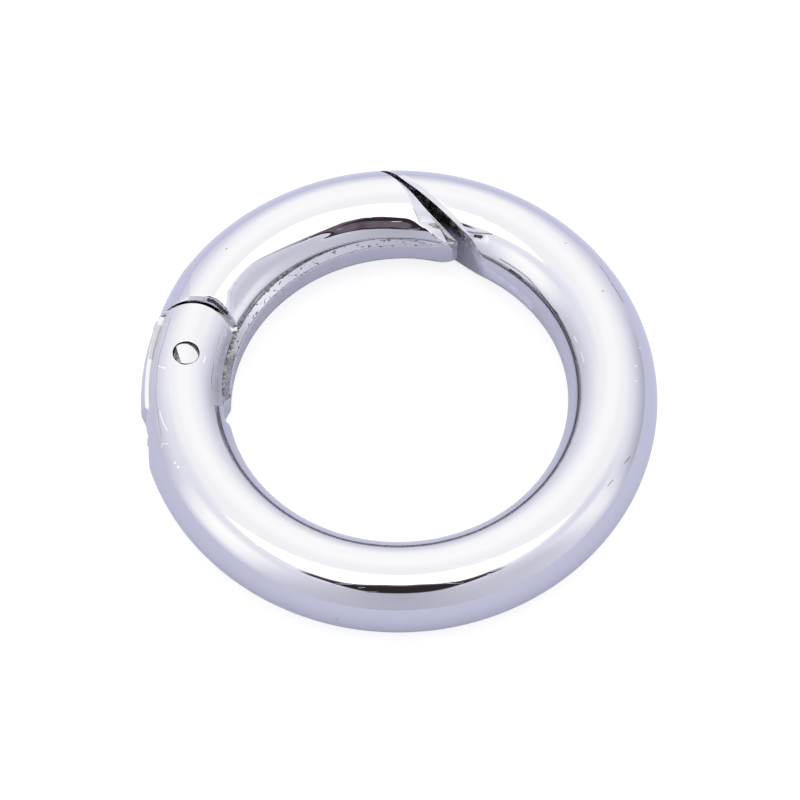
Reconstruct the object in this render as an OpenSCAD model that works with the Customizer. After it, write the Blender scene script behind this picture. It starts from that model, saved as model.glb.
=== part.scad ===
/* [Ring] */
// Outside diameter of the ring
ring_od = 25; // [24:0.5:30]
// Thickness of the round bar
bar_d = 4.3; // [4.2:0.1:4.6]

/* [Nose] */
// Direction in which the nose's face lies, seen from above
nose_turn = 46.7; // [44:0.1:48]
// Depth of the nose's face inside the bar's centre line
nose_depth = 2.05; // [1.9:0.05:2.1]
// Place along the nose's face where its heel begins
heel_start = 2.9; // [2.6:0.1:3.2]
// Angle between the heel and the rest of the face
heel_bend = 9.7; // [8:0.1:12]

/* [Gate] */
// Gap between the gate's tip and the nose at the outside of the ring
tip_gap = 0.08; // [0.06:0.01:0.2]
// Angle by which that gap opens towards the inside
tip_flare = 4.9; // [3:0.1:6]
// Direction of the gate's blunt inner end
blunt_turn = 70.5; // [69:0.5:74]
// Distance of the flat land on the gate's inside from the bar's centre line, where it is proudest
land_inset = 2.37; // [2.2:0.01:2.4]
// Direction in which the land is proudest
land_turn = 148; // [140:1:155]
// Shift of the land's centre away from that direction
land_shift = 0.42; // [0.3:0.01:0.5]
// Height of the land
land_h = 1.2; // [1:0.05:1.4]
// Height of the slanted strip above and below the land
land_slant_h = 0.4; // [0.3:0.05:0.5]

/* [Hinge] */
// Direction of the hinge pin, seen from above
pin_turn = 172.8; // [170:0.2:175]
// Distance of the pin inside the bar's centre line
pin_inset = 0.1; // [0:0.02:0.2]
// Thickness of the hinge pin
pin_d = 1.3; // [1.1:0.05:1.5]
// Gap around the pin in the tongue
pin_play = 0.05; // [0.02:0.01:0.08]
// Gap around the pin in the ears
pin_seat_gap = 0.02; // [0.02:0.01:0.04]
// Width of the polished funnel around each end of the pin
rim_w = 0.2; // [0.1:0.02:0.3]
// Radius of the ears' round ends about the pin
ear_r = 2.75; // [2.6:0.05:2.9]
// Gap between the ears' ends and the gate's shoulder
shoulder_gap = 0.28; // [0.2:0.02:0.4]
// Height of the slot between the ears
slot_h = 2; // [1.8:0.05:2.2]
// Gap above and below the tongue
tongue_gap = 0.07; // [0.05:0.01:0.12]
// Direction of the slot's floor, seen from above
slot_end = 193; // [192:0.2:196]
// Direction of the tongue's end, seen from above
tongue_end = 188.8; // [187:0.2:190]
// Distance by which the tongue stands back from the ring's outside
tongue_dip = 0.12; // [0.04:0.02:0.16]
// Reach of the tongue's tail from the pin
tail_r = 3.62; // [3.4:0.02:3.8]
// Length that is cut slantwise off each side of the tongue's inner corner
corner_cut = 0.6; // [0.4:0.05:0.6]

/* [Spring] */
// Distance of the spring inside the bar's centre line
spring_inset = 1.05; // [0.9:0.05:1.2]
// Outside diameter of the spring
spring_od = 1; // [0.8:0.05:1.1]
// Thickness of the spring's wire
wire_d = 0.2; // [0.14:0.02:0.24]
// Turns of the spring
spring_turns = 7; // [5:1:9]
// Diameter of the spring's hole in the ring
hole_d = 1.22; // [1.2:0.02:1.4]
// Depth of that hole below the slot's floor
hole_depth = 2.4; // [2:0.1:2.8]
// Gap at each end of the spring
spring_gap = 0.04; // [0.03:0.01:0.08]

/* [Hidden] */
$fn = 96;
// longer than anything in the model, for cuts that run right through
far = ring_od;
bar_r = bar_d / 2;
ring_r = (ring_od - bar_d) / 2;
mid_z = bar_r;

// the nose's face is upright, its heel turns from it at one corner
nose_dist = ring_r - nose_depth;
heel_at = turned([nose_dist, heel_start], nose_turn);
heel_turn = nose_turn - heel_bend;
heel_dist = heel_at * dir(heel_turn);
nose_root_turn = 50;

// the gate's tip starts beside the outermost point of the nose's face
nose_reach = sqrt(pow(ring_od / 2, 2) - pow(nose_dist, 2));
tip_at = turned([nose_dist - tip_gap, nose_reach], nose_turn);
tip_turn = nose_turn - tip_flare;
tip_dist = tip_at * dir(tip_turn);

// the land's strip leans back into the bar above and below its flat
land_r = ring_r - land_inset + land_shift;
land_at = polar(-land_shift, land_turn);
land_lean = 0.35;
land_root = 0.9;

pin_r = pin_d / 2;
pin_at = polar(ring_r - pin_inset, pin_turn);
slot_z = slot_h / 2;
tongue_z = slot_z - tongue_gap;
// angle before the pin at which the tongue begins, inside the gate's bar
tongue_lead = 22;
shoulder_r = ear_r + shoulder_gap;
rim_depth = 0.22;
// skin left between the pin's ends and the ring's crest
pin_dip = 0.02;

// the spring stands on the slot's floor and reaches from its hole to the tongue
spring_r = ring_r - spring_inset;
spring_low = spring_gap - hole_depth;
spring_high = spring_r * tan(slot_end - tongue_end) - spring_gap;
coil_r = (spring_od - wire_d) / 2;
wire_sides = 6;
steps_per_turn = 14;
hole_lead = 0.3;

function dir(a) = [cos(a), sin(a)];
function polar(r, a) = r * dir(a);
function turned(p, a) = [p[0] * cos(a) - p[1] * sin(a), p[0] * sin(a) + p[1] * cos(a)];

// The whole ring as one round bar.
module bar(r = bar_r) {
  translate([0, 0, mid_z]) rotate_extrude() translate([ring_r, 0]) circle(r = r);
}

// An upright wedge between two directions, from the ring's axis outwards.
module wedge(from, to, low = -far, high = far) {
  fan = [for (k = [0:6]) polar(far, from + (to - from) * k / 6)];
  translate([0, 0, low]) linear_extrude(height = high - low) polygon(concat([[0, 0]], fan));
}

// Everything on the far side of an upright plane at a distance from the ring's axis.
module beyond(turn, dist) {
  rotate([0, 0, turn]) translate([dist, -far, -far]) cube([far, 2 * far, 2 * far]);
}

// An upright round post about the hinge pin.
module post(r, low = -far, high = far) {
  translate([pin_at[0], pin_at[1], low]) cylinder(r = r, h = high - low);
}

// The opening that the gate closes, from the nose's face and heel to the ears' round ends.
module mouth() {
  difference() {
    wedge(nose_root_turn, pin_turn);
    beyond(nose_turn, nose_dist);
    beyond(heel_turn, heel_dist);
    post(ear_r);
  }
}

// The polished funnel around the pin's end, on the upper side or the lower one.
module rim(side) {
  inner = pin_r + pin_seat_gap / 2;
  outer = pin_r + rim_w;
  slope = (outer - inner) / rim_depth;
  translate([pin_at[0], pin_at[1], mid_z]) rotate([side > 0 ? 0 : 180, 0, 0])
    translate([0, 0, bar_r - rim_depth])
      cylinder(r1 = inner, r2 = outer + slope * rim_depth, h = 2 * rim_depth);
}

// Stands what it holds on the slot's floor at the spring's place, upright towards the tongue.
module on_slot_floor() {
  at = polar(spring_r, slot_end);
  translate([at[0], at[1], mid_z]) rotate([90, 0, slot_end]) children();
}

module ring_body() {
  color("lightgray") difference() {
    bar();
    mouth();
    wedge(pin_turn - 30, slot_end, mid_z - slot_z, mid_z + slot_z);
    post(pin_r + pin_seat_gap);
    rim(1);
    rim(-1);
    on_slot_floor() translate([0, 0, -hole_depth]) cylinder(d = hole_d, h = hole_depth + hole_lead);
  }
}

// The strip along the gate's inside that carries the flat land.
module land_strip() {
  flat = land_h / 2;
  top = flat + land_slant_h;
  root = land_r + land_root;
  translate([land_at[0], land_at[1], mid_z]) rotate_extrude()
    polygon([[land_r, -flat], [land_r + land_lean, -top], [root, -top],
             [root, top], [land_r + land_lean, top], [land_r, flat]]);
}

// The flat slab that holds the tongue, with its round tail and its cut inner corner.
module tongue_slab() {
  corner = polar(ring_r - bar_r, tongue_end);
  corner_turn = tongue_end + 135;
  difference() {
    intersection() {
      wedge(pin_turn - tongue_lead, tongue_end, mid_z - tongue_z, mid_z + tongue_z);
      post(tail_r);
    }
    beyond(corner_turn, corner * dir(corner_turn) - corner_cut / sqrt(2));
  }
}

// The gate's tongue, which stands back a little from the ring's outside.
module tongue() {
  dip = polar(-tongue_dip, pin_turn);
  intersection() {
    union() {
      translate([dip[0], dip[1], 0]) bar();
      land_strip();
    }
    tongue_slab();
  }
}

// The gate's bar from its blunt inner end to the round shoulder around the ears.
module gate_bar() {
  difference() {
    intersection() {
      union() {
        bar();
        land_strip();
      }
      wedge(blunt_turn, pin_turn);
    }
    beyond(tip_turn, tip_dist);
    post(shoulder_r);
  }
}

module gate() {
  color("gainsboro") difference() {
    union() {
      gate_bar();
      tongue();
    }
    translate([land_at[0], land_at[1], -far]) cylinder(r = land_r, h = 2 * far);
    post(pin_r + pin_play);
  }
}

module hinge_pin() {
  color("silver") intersection() {
    bar(bar_r - pin_dip);
    post(pin_r);
  }
}

module spring() {
  color("darkgray") on_slot_floor() coil();
}

// A round wire wound from spring_low to spring_high, with plain cut ends.
module coil() {
  low = spring_low + wire_d / 2;
  rise = spring_high - spring_low - wire_d;
  steps = spring_turns * steps_per_turn;
  slope = atan(rise / (spring_turns * 2 * PI * coil_r));
  points = [for (k = [0:steps], s = [0:wire_sides - 1])
    let (turn = 360 * k / steps_per_turn,
         side = 360 * s / wire_sides,
         out = coil_r + wire_d / 2 * cos(side),
         lean = wire_d / 2 * sin(side))
    [out * cos(turn) + lean * sin(slope) * sin(turn),
     out * sin(turn) - lean * sin(slope) * cos(turn),
     low + rise * k / steps + lean * cos(slope)]];
  walls = [for (k = [0:steps - 1], s = [0:wire_sides - 1])
    let (a = k * wire_sides + s,
         b = k * wire_sides + (s + 1) % wire_sides)
    [a, a + wire_sides, b + wire_sides, b]];
  ends = [[for (s = [0:wire_sides - 1]) s],
          [for (s = [wire_sides - 1:-1:0]) steps * wire_sides + s]];
  polyhedron(points = points, faces = concat(walls, ends), convexity = 10);
}

ring_body();
gate();
hinge_pin();
spring();
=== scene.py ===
"""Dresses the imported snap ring: its polished round bar, the hinged gate, the pin and the spring."""

from __future__ import annotations

import logging
import math
from collections.abc import Callable, Iterable
from dataclasses import dataclass, field
from enum import Enum

import bmesh
import bpy
from mathutils import Matrix, Vector


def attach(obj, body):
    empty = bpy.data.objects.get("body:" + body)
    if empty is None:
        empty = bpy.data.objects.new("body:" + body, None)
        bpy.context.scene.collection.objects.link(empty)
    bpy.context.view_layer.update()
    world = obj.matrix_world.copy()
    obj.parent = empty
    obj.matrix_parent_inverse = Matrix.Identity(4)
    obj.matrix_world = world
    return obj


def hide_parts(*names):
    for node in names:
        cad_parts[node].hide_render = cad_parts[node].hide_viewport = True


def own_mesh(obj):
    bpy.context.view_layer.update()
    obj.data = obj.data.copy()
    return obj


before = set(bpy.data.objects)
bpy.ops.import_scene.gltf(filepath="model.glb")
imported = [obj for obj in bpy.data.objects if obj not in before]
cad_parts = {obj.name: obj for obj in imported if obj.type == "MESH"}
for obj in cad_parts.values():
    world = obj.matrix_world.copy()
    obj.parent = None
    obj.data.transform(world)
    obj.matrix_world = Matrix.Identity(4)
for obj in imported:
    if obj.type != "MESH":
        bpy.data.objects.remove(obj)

LOG = logging.getLogger("snap_ring")
MM = 0.001
TINY = 1e-4
SEAM = 0.002

Steps = tuple[tuple[float, float], ...]
Rows = list[tuple[float, float, float]]
Face = bmesh.types.BMFace
Edge = bmesh.types.BMEdge
Vert = bmesh.types.BMVert
Socket = bpy.types.NodeSocket
Tree = bpy.types.NodeTree
Piece = bpy.types.Object
Skin = Callable[[Vector], "Vector | None"]


def polar(radius: float, turn: float, z: float = 0.0) -> Vector:
    """Returns the point at a distance and direction from the ring's axis, in degrees."""
    a = math.radians(turn)
    return Vector((radius * math.cos(a), radius * math.sin(a), z))


def turn_of(point: Vector) -> float:
    """Returns the direction in which a point lies from the ring's axis."""
    return math.degrees(math.atan2(point.y, point.x)) % 360


def angle_of(out: float, z: float) -> float:
    """Returns the angle round the bar of a place outside and above its centre line."""
    return math.degrees(math.atan2(z, out)) % 360


def side_of(angle: float) -> float:
    """Returns the side of the bar that an angle round it is nearest: 0, 180 or 360."""
    return 180.0 if 90 < angle < 270 else 360.0 * (angle >= 270)


def arc(ratio: float) -> float:
    """Returns the arc cosine in degrees of a ratio that may just pass 1."""
    return math.degrees(math.acos(max(-1.0, min(1.0, ratio))))


def within(share: float) -> float:
    """Returns a share held between 0 and 1."""
    return max(0.0, min(1.0, share))


def ease(value: float, low: float, high: float) -> float:
    """Returns 0 below low, 1 above high and a smooth step between them."""
    t = within((value - low) / (high - low))
    return t * t * (3 - 2 * t)


def spread(value: float, places: Steps) -> float:
    """Reads a value off a line through a few places.

    Args:
        value: Where to read.
        places: Pairs of where and what, in rising order.

    Returns:
        The value there, level beyond both ends.
    """
    if value <= places[0][0]:
        return places[0][1]
    for (a, low), (b, high) in zip(places, places[1:]):
        if value <= b:
            return low + (high - low) * (value - a) / (b - a)
    return places[-1][1]


def with_edges(faces: Iterable[Face]) -> list[Vert | Edge | Face]:
    """Gathers faces with all that bounds them.

    Args:
        faces: The faces.

    Returns:
        Their corners, their edges and the faces, each once.
    """
    faces = list(faces)
    edges = dict.fromkeys(e for f in faces for e in f.edges)
    verts = dict.fromkeys(v for f in faces for v in f.verts)
    return [*verts, *edges, *faces]


def put(name: str, data: bpy.types.ID) -> Piece:
    """Makes an object in the scene.

    Args:
        name: Its name.
        data: Its mesh or camera.

    Returns:
        The object.
    """
    made = bpy.data.objects.new(name, data)
    bpy.context.scene.collection.objects.link(made)
    return made


def put_mesh(name: str, bm: bmesh.types.BMesh) -> Piece:
    """Makes an object in the scene from a bmesh.

    Args:
        name: Its name and its mesh's.
        bm: What it is made of.

    Returns:
        The object.
    """
    mesh = bpy.data.meshes.new(name)
    bm.to_mesh(mesh)
    return put(name, mesh)


@dataclass(frozen=True)
class RingPlan:
    """The ring's sizes in millimetres and degrees, with z = 0 at half the bar's height."""

    ring_r: float = 10.35
    bar_r: float = 2.15
    nose_turn: float = 46.7
    nose_dist: float = 8.3
    heel_turn: float = 37.0
    heel_dist: float = 7.693
    tip_turn: float = 41.8
    tip_dist: float = 7.39
    blunt_turn: float = 70.5
    pin_turn: float = 172.8
    pin_ring_r: float = 10.25
    ear_r: float = 2.75
    shoulder_r: float = 3.03
    slot_z: float = 1.0
    slot_angle: float = 27.717
    tongue_z: float = 0.93
    slot_end: float = 193.0
    tongue_end: float = 188.8
    tail_r: float = 3.62
    corner_turn: float = 323.8
    corner_dist: float = -6.222
    tongue_dip: float = 0.12
    land_turn: float = 148.0
    land_shift: float = 0.42
    land_r: float = 8.4
    land_z: float = 0.6
    slant_z: float = 1.0
    slant_lean: float = 0.875

    def pin_at(self) -> Vector:
        """Returns the hinge pin's place."""
        return polar(self.pin_ring_r, self.pin_turn)

    def on_bar(self, turn: float, angle: float, bar_r: float) -> Vector:
        """Returns the point at a direction, an angle round the bar and a distance from its centre line."""
        a = math.radians(angle)
        return polar(self.ring_r + bar_r * math.cos(a), turn, bar_r * math.sin(a))

    def round_at(self, angle: float) -> tuple[float, float]:
        """Returns the distance from the ring's axis and the height of a place on the round bar."""
        a = math.radians(angle)
        return self.ring_r + self.bar_r * math.cos(a), self.bar_r * math.sin(a)

    def about_pin(self, radius: float, reach: float) -> float:
        """Returns the angle between the pin and a point at a reach from it."""
        p = self.pin_ring_r
        return arc((radius**2 + p**2 - reach**2) / (2 * radius * p))

    def nose_end(self, radius: float) -> float:
        """Finds where the bar ends on the nose's face or its heel.

        Args:
            radius: Distance from the ring's axis.

        Returns:
            The direction.
        """
        face = self.nose_turn + arc(self.nose_dist / radius)
        heel = self.heel_turn + arc(self.heel_dist / radius)
        return max(heel, face) if radius > self.nose_dist else heel

    def past_nose(self, point: Vector) -> float:
        """Returns how deep behind the nose's face or heel a point lies."""
        face = point.dot(polar(1, self.nose_turn)) - self.nose_dist
        return max(face, point.dot(polar(1, self.heel_turn)) - self.heel_dist)

    def ear_end(self, radius: float) -> float:
        """Returns the direction in which the ears end, round the pin."""
        return self.pin_turn - self.about_pin(radius, self.ear_r)

    def tip_end(self, radius: float) -> float:
        """Returns the direction in which the gate's tip ends."""
        return max(self.blunt_turn, self.tip_turn + arc(self.tip_dist / radius))

    def past_tip(self, point: Vector) -> float:
        """Returns how far behind the gate's tip and blunt end a point lies."""
        slanted = self.tip_dist - point.dot(polar(1, self.tip_turn))
        return min(slanted, self.past_blunt(point.xy.length, turn_of(point)))

    def past_blunt(self, radius: float, turn: float) -> float:
        """Returns how far behind the gate's blunt end a place lies."""
        return radius * math.radians(turn - self.blunt_turn)

    def shoulder_end(self, radius: float) -> float:
        """Returns the direction of the gate's hollow shoulder, round the ears."""
        return self.pin_turn - self.about_pin(radius, self.shoulder_r)

    def past_shoulder(self, point: Vector) -> float:
        """Returns how far behind the gate's shoulder a point lies."""
        return (point.xy - self.pin_at().xy).length - self.shoulder_r

    def tail_end(self, radius: float) -> float:
        """Finds where the tongue ends: on its corner, its end or its round tail.

        Args:
            radius: Distance from the ring's axis.

        Returns:
            The direction.
        """
        tail = self.pin_turn + self.about_pin(radius, self.tail_r)
        corner = self.corner_turn - 180 + arc(-self.corner_dist / radius)
        return min(self.tongue_end, tail, corner)

    def slant(self, z: float) -> float:
        """Returns how far the slants beside the land stand back from it at a height."""
        return self.slant_lean * max(0.0, abs(z) - self.land_z)

    def plain_wall(self, z: float) -> float:
        """Returns how far from the ring's axis the gate's inside stands before it is bent."""
        return self.land_r - self.land_shift + self.slant(z)

    def inner_wall(self, z: float, turn: float) -> float:
        """Finds how far from the ring's axis the gate's inside stands.

        Args:
            z: Height.
            turn: Direction.

        Returns:
            The distance.
        """
        a = math.radians(turn - self.land_turn)
        side = self.land_shift * math.sin(a)
        land = math.sqrt(self.land_r**2 - side**2) - self.land_shift * math.cos(a)
        bar = self.ring_r - math.sqrt(self.bar_r**2 - z * z)
        return max(land, min(bar, land + self.slant(z)))


PLAN = RingPlan()


@dataclass(frozen=True)
class Grind:
    """A slanted facet along an end: how steeply it falls and how wide it is round the bar."""

    slope: float
    widths: Steps

    def depth(self, angle: float, past: float) -> float:
        """Returns how deep the facet cuts at an angle round the bar, so far behind the end."""
        return self.slope * max(0.0, spread(min(angle, 360 - angle), self.widths) - past)


@dataclass(frozen=True)
class GatePolish:
    """How the gate's inner top side is polished away from a plain round bar.

    Each column stands at a direction. A row in it gives a lean above the ring's plane, the
    slope of the surface's normal there and how far the normal swings towards the hinge.
    """

    top: float = 100.0
    lip: tuple[float, float, float] = (27.7, 12.0, 0.0)
    columns: tuple[tuple[float, tuple[tuple[float, float, float], ...]], ...] = (
        (82, ((80, 81, 0), (76, 77, 0), (60, 66, 0), (46, 63.5, 0), (44, 62, 0), (42.5, 59, 0), (41, 57, 0),
              (40, 56, 0), (39.3, 54, 0), (38.5, 51, 0), (36, 47, 0), (33.5, 41, 0), (31, 36, 0),
              (29, 31, 0))),
        (86.5, ((80, 81, 0), (76, 77.5, 0), (64, 67.5, 0), (53.3, 63.6, 0), (51.2, 60, 0), (48.5, 57.5, 0),
                (47, 61.5, 0), (44, 61.6, 0), (40.2, 61.6, 0), (38.8, 51, 0), (36, 47, 0), (33.5, 41, 0),
                (31, 36, 0), (29, 31, 0))),
        (91, ((80, 81, 0), (76, 77.5, 0), (64, 67.5, 0), (55, 63.6, 0), (53.3, 60, 0), (51, 57.5, 0),
              (49.6, 61.7, 0), (45.5, 61.8, 0), (41.2, 61.7, 0), (39.7, 51, 0), (37, 47, 0), (34, 41, 0),
              (31, 36, 0), (29, 31, 0))),
        (97, ((80, 81, 0), (76, 77.2, 0.3), (65, 68.3, 0.3), (57.3, 63.2, 0), (55.4, 60, 0),
              (52.5, 57.5, 0), (51, 61.3, 0), (46.8, 61.3, 0), (42.5, 61.3, 0), (41, 51.5, 0),
              (37.8, 47, 0), (34.3, 41, 0), (31.3, 36, 0), (29.2, 31, 0))),
        (102, ((80, 81, 0), (75.5, 77, 0.5), (66, 69, 0.5), (59.5, 63, 0), (57.5, 60, 0), (54, 57.5, 0),
               (52.4, 58.9, 0), (48, 58.9, 0), (43.8, 58.9, 0), (42.2, 52, 0), (38.5, 47, 0), (34.5, 41, 0),
               (31.5, 36, 0), (29.3, 31, 0))),
        (106, ((80, 81, 0), (75.5, 76, 0.5), (66, 68.5, 0.5), (59, 60.8, 0), (57, 59, 0), (53.2, 57, 0),
               (51, 58.7, 0), (48, 58.6, 0), (44.2, 58.4, 0), (42.6, 53, 0), (38.5, 47.5, 0), (35, 41, 0),
               (31.5, 36, 0), (29.3, 31, 0))),
        (110, ((80, 80.5, 0.5), (75.5, 75, 1), (66, 68, 1.2), (57, 60.8, 1), (55.5, 59, 1), (51.5, 58, 1),
               (50, 59, 1), (48, 58.3, 1), (44.3, 57.8, 0), (42.6, 54, 0), (39, 48, 0), (35, 41, 0),
               (31.5, 36, 0), (29.3, 31, 0))),
        (114, ((80, 80, 1), (75.5, 74.5, 2), (66, 67.5, 1.8), (56, 61, 1.4), (54.3, 59.5, 1.3),
               (52, 58.3, 1.3), (50, 56, 1), (47.2, 51, 1.5), (44.4, 58, 1), (42.8, 54, 0), (40, 49, 0),
               (36, 42, 0), (32, 36, 0), (29.3, 31, 0))),
        (117, ((80, 79.5, 1.5), (75.5, 74.3, 3), (66, 67.4, 2.5), (55.4, 61, 1.8), (54, 59.5, 1.8),
               (52.3, 58.3, 1.8), (50.3, 55, 2), (47, 50, 3.5), (44.8, 46, 4), (43, 48, 3), (41, 49, 0),
               (37, 43, 0), (32.5, 36, 0), (29.3, 31, 0))),
        (122, ((80, 79, 2.5), (75.5, 74, 5), (66, 67, 4.5), (56, 60.8, 3.7), (54.4, 59.5, 3.6),
               (53.2, 58, 3.5), (51.3, 54.5, 5), (48, 49, 7), (45, 45, 8), (43, 47, 4), (40.5, 48, 0),
               (37, 42, 0), (32.5, 35, 0), (29.3, 30, 0))),
        (130, ((80, 79, 3), (75.5, 73.5, 7.5), (66, 66.5, 7.3), (59.8, 60.8, 7), (58.6, 59.5, 7),
               (57.5, 58, 7), (55.5, 55, 5.5), (50.5, 49.5, 8), (46, 45, 10), (43.5, 47, 4),
               (40.5, 47.5, 1), (36.5, 42, 0), (32.5, 35, 0), (29.3, 30, 0))),
        (138, ((80, 79, 3), (75.5, 73, 10), (70, 67.5, 10.3), (66.2, 60.8, 10.5), (65, 59.5, 10.6),
               (63.8, 58, 10.5), (61.5, 55, 8.5), (54, 49, 11.5), (47.5, 45.5, 11.5), (44, 48.5, 5),
               (40.5, 50, 2), (36.5, 44, 2), (32.5, 36, 1), (29.3, 30, 0))),
        (146, ((80, 79, 4), (75.5, 72.5, 12.5), (70, 67, 13), (66.2, 60.8, 13.5), (65, 59.5, 13.7),
               (63.8, 58, 13.5), (61.5, 54.8, 11.5), (54, 49, 14.5), (47.5, 45.5, 14.5), (44, 48.2, 9),
               (40.5, 50, 5), (36.5, 44.5, 4), (32.5, 36.5, 3), (29.3, 30, 1))),
        (148, ((80, 79, 4), (75.5, 72.5, 13.5), (70, 67, 14.5), (64.4, 60.8, 15), (63.2, 59.5, 15.2),
               (62, 58, 15), (60, 54.6, 12.7), (54, 49, 15.7), (47.5, 45.5, 16), (44, 48.1, 10.5),
               (40.5, 50, 6.5), (36.5, 44.7, 5), (32.5, 36.7, 4), (29.3, 30, 1.5))),
        (150, ((80, 79, 4), (75.5, 72.5, 14.5), (68, 65, 15.5), (61.7, 60.8, 16.5), (60.5, 59.5, 16.8),
               (59.3, 58, 16.5), (58, 54.5, 14), (54, 49, 17), (47.5, 45.5, 17.5), (44, 48, 12),
               (40.5, 50, 8), (36.5, 45, 6), (32.5, 37, 5), (29.3, 30, 2))),
        (152, ((80, 79, 4), (75.5, 73, 14.5), (64, 66, 15.5), (56.2, 60.8, 16.5), (55, 59.5, 16.8),
               (53.8, 58, 16.5), (52.5, 54.5, 14), (50, 49.5, 17), (47, 46.5, 17.5), (44, 47.5, 12),
               (40.5, 49, 8), (36.5, 45, 6), (32.5, 37, 5), (29.3, 30, 2))),
        (155, ((80, 79.5, 4), (75.5, 75, 13), (62, 67, 15), (47.2, 60.8, 16), (46, 59.5, 16),
               (44.8, 58, 15), (43.7, 55, 13), (42.5, 51, 12), (41.5, 49, 10), (40.5, 48.5, 9),
               (39.5, 48, 8), (36, 44, 6), (32.5, 37, 5), (29.3, 30, 2))),
        (159, ((80, 80, 3), (75.5, 76, 10), (62, 68, 13), (35, 60.8, 14), (34, 59.5, 13), (33, 58, 12),
               (32.6, 55, 10), (32.2, 50, 8), (31.8, 46, 7), (31.4, 43, 6), (31, 40, 5), (30.4, 37, 4),
               (29.9, 34, 3), (29.3, 30, 2))),
    )
    step: float = 0.5
    share: float = 0.35
    first: float = 60.0
    last: float = 150.0
    gone: float = 25.5
    radii: dict[int, list[float]] = field(default_factory=dict)

    def rows(self, turn: float) -> Rows:
        """Works out the rows at a direction, on smooth curves through the columns.

        Args:
            turn: The direction.

        Returns:
            The rows from the lip to the top.
        """
        c = self.columns
        k = max(0, min(len(c) - 2, sum(1 for column in c if column[0] <= turn) - 1))
        t = within((turn - c[k][0]) / (c[k + 1][0] - c[k][0]))
        before, after = c[max(0, k - 1)], c[min(len(c) - 1, k + 2)]
        wide = c[k + 1][0] - c[k][0]
        start = t * (1 - t) ** 2 * wide / (c[k + 1][0] - before[0])
        end = t * t * (1 - t) * wide / (after[0] - c[k][0])
        level = t * t * (3 - 2 * t)
        mixed = [
            tuple(
                low + (high - low) * level + start * (high - left) - end * (right - low)
                for left, low, high, right in zip(*row)
            )
            for row in zip(before[1], c[k][1], c[k + 1][1], after[1])
        ]
        return [self.lip, *reversed(mixed), (self.top, self.top, 0.0)]

    def read(self, rows: Rows, lean: float) -> tuple[float, float]:
        """Reads the polished surface's normal off a direction's rows.

        Args:
            rows: The rows, from the lip to the top.
            lean: Where to read.

        Returns:
            The normal's slope and its swing.
        """
        for one, other in zip(rows, rows[1:]):
            if lean <= other[0]:
                t = max(0.0, (lean - one[0]) / (other[0] - one[0]))
                return one[1] + (other[1] - one[1]) * t, one[2] + (other[2] - one[2]) * t
        return self.top, 0.0

    def column(self, turn: int) -> list[float]:
        """Sums the slopes at a whole degree up to the bar's half thickness.

        Args:
            turn: The direction.

        Returns:
            The half thickness at each step, from the top down.
        """
        if turn not in self.radii:
            rows = self.rows(turn)
            radius, lean, sums = PLAN.bar_r, self.top, [PLAN.bar_r]
            while lean > self.lip[0]:
                middle = lean - self.step / 2
                tilt = self.share * (self.read(rows, middle)[0] - middle)
                radius *= 1 + math.tan(math.radians(tilt)) * math.radians(self.step)
                lean -= self.step
                sums.append(radius)
            self.radii[turn] = sums
        return self.radii[turn]

    def radius(self, turn: float, lean: float) -> float:
        """Works out the gate's half thickness.

        Args:
            turn: Direction.
            lean: Lean above the ring's plane.

        Returns:
            The half thickness.
        """
        if lean >= self.top:
            return PLAN.bar_r
        turn = max(self.first, min(self.last, turn))
        place = (self.top - max(lean, self.lip[0])) / self.step
        found = []
        for whole in (int(turn), int(turn) + 1):
            sums = self.column(whole)
            k = min(int(place), len(sums) - 2)
            found.append(sums[k] + (sums[k + 1] - sums[k]) * (place - k))
        radius = found[0] + (found[1] - found[0]) * (turn - int(turn))
        return PLAN.bar_r + (radius - PLAN.bar_r) * within((lean - self.gone) / (self.lip[0] - self.gone))

    def normal(self, turn: float, lean: float) -> Vector:
        """Works out the polished surface's normal.

        Args:
            turn: Direction.
            lean: Lean above the ring's plane.

        Returns:
            The normal.
        """
        slope, swing = self.read(self.rows(turn), lean)
        slope, swing = math.radians(slope), math.radians(swing)
        inwards = -polar(math.cos(slope), turn) + Vector((0, 0, math.sin(slope)))
        return inwards * math.cos(swing) + polar(math.sin(swing), turn + 90)


@dataclass(frozen=True)
class Dent:
    """A small dent in the bar, along a short line from one place to another."""

    start: tuple[float, float]
    end: tuple[float, float]
    width: float
    depth: float
    far_turn: float = 9.0
    far_angle: float = 25.0

    def at(self, turn: float, angle: float) -> float:
        """Works out how deep the dent is.

        Args:
            turn: Direction.
            angle: Angle round the bar.

        Returns:
            The depth.
        """
        if abs(turn - self.start[0]) > self.far_turn or abs(angle - self.start[1]) > self.far_angle:
            return 0.0
        a, b = (PLAN.on_bar(*place, PLAN.bar_r) for place in (self.start, self.end))
        p = PLAN.on_bar(turn, angle, PLAN.bar_r)
        t = within((p - a).dot(b - a) / (b - a).length_squared)
        return self.depth * math.exp(-(((p - a - (b - a) * t).length / self.width) ** 2))


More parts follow.
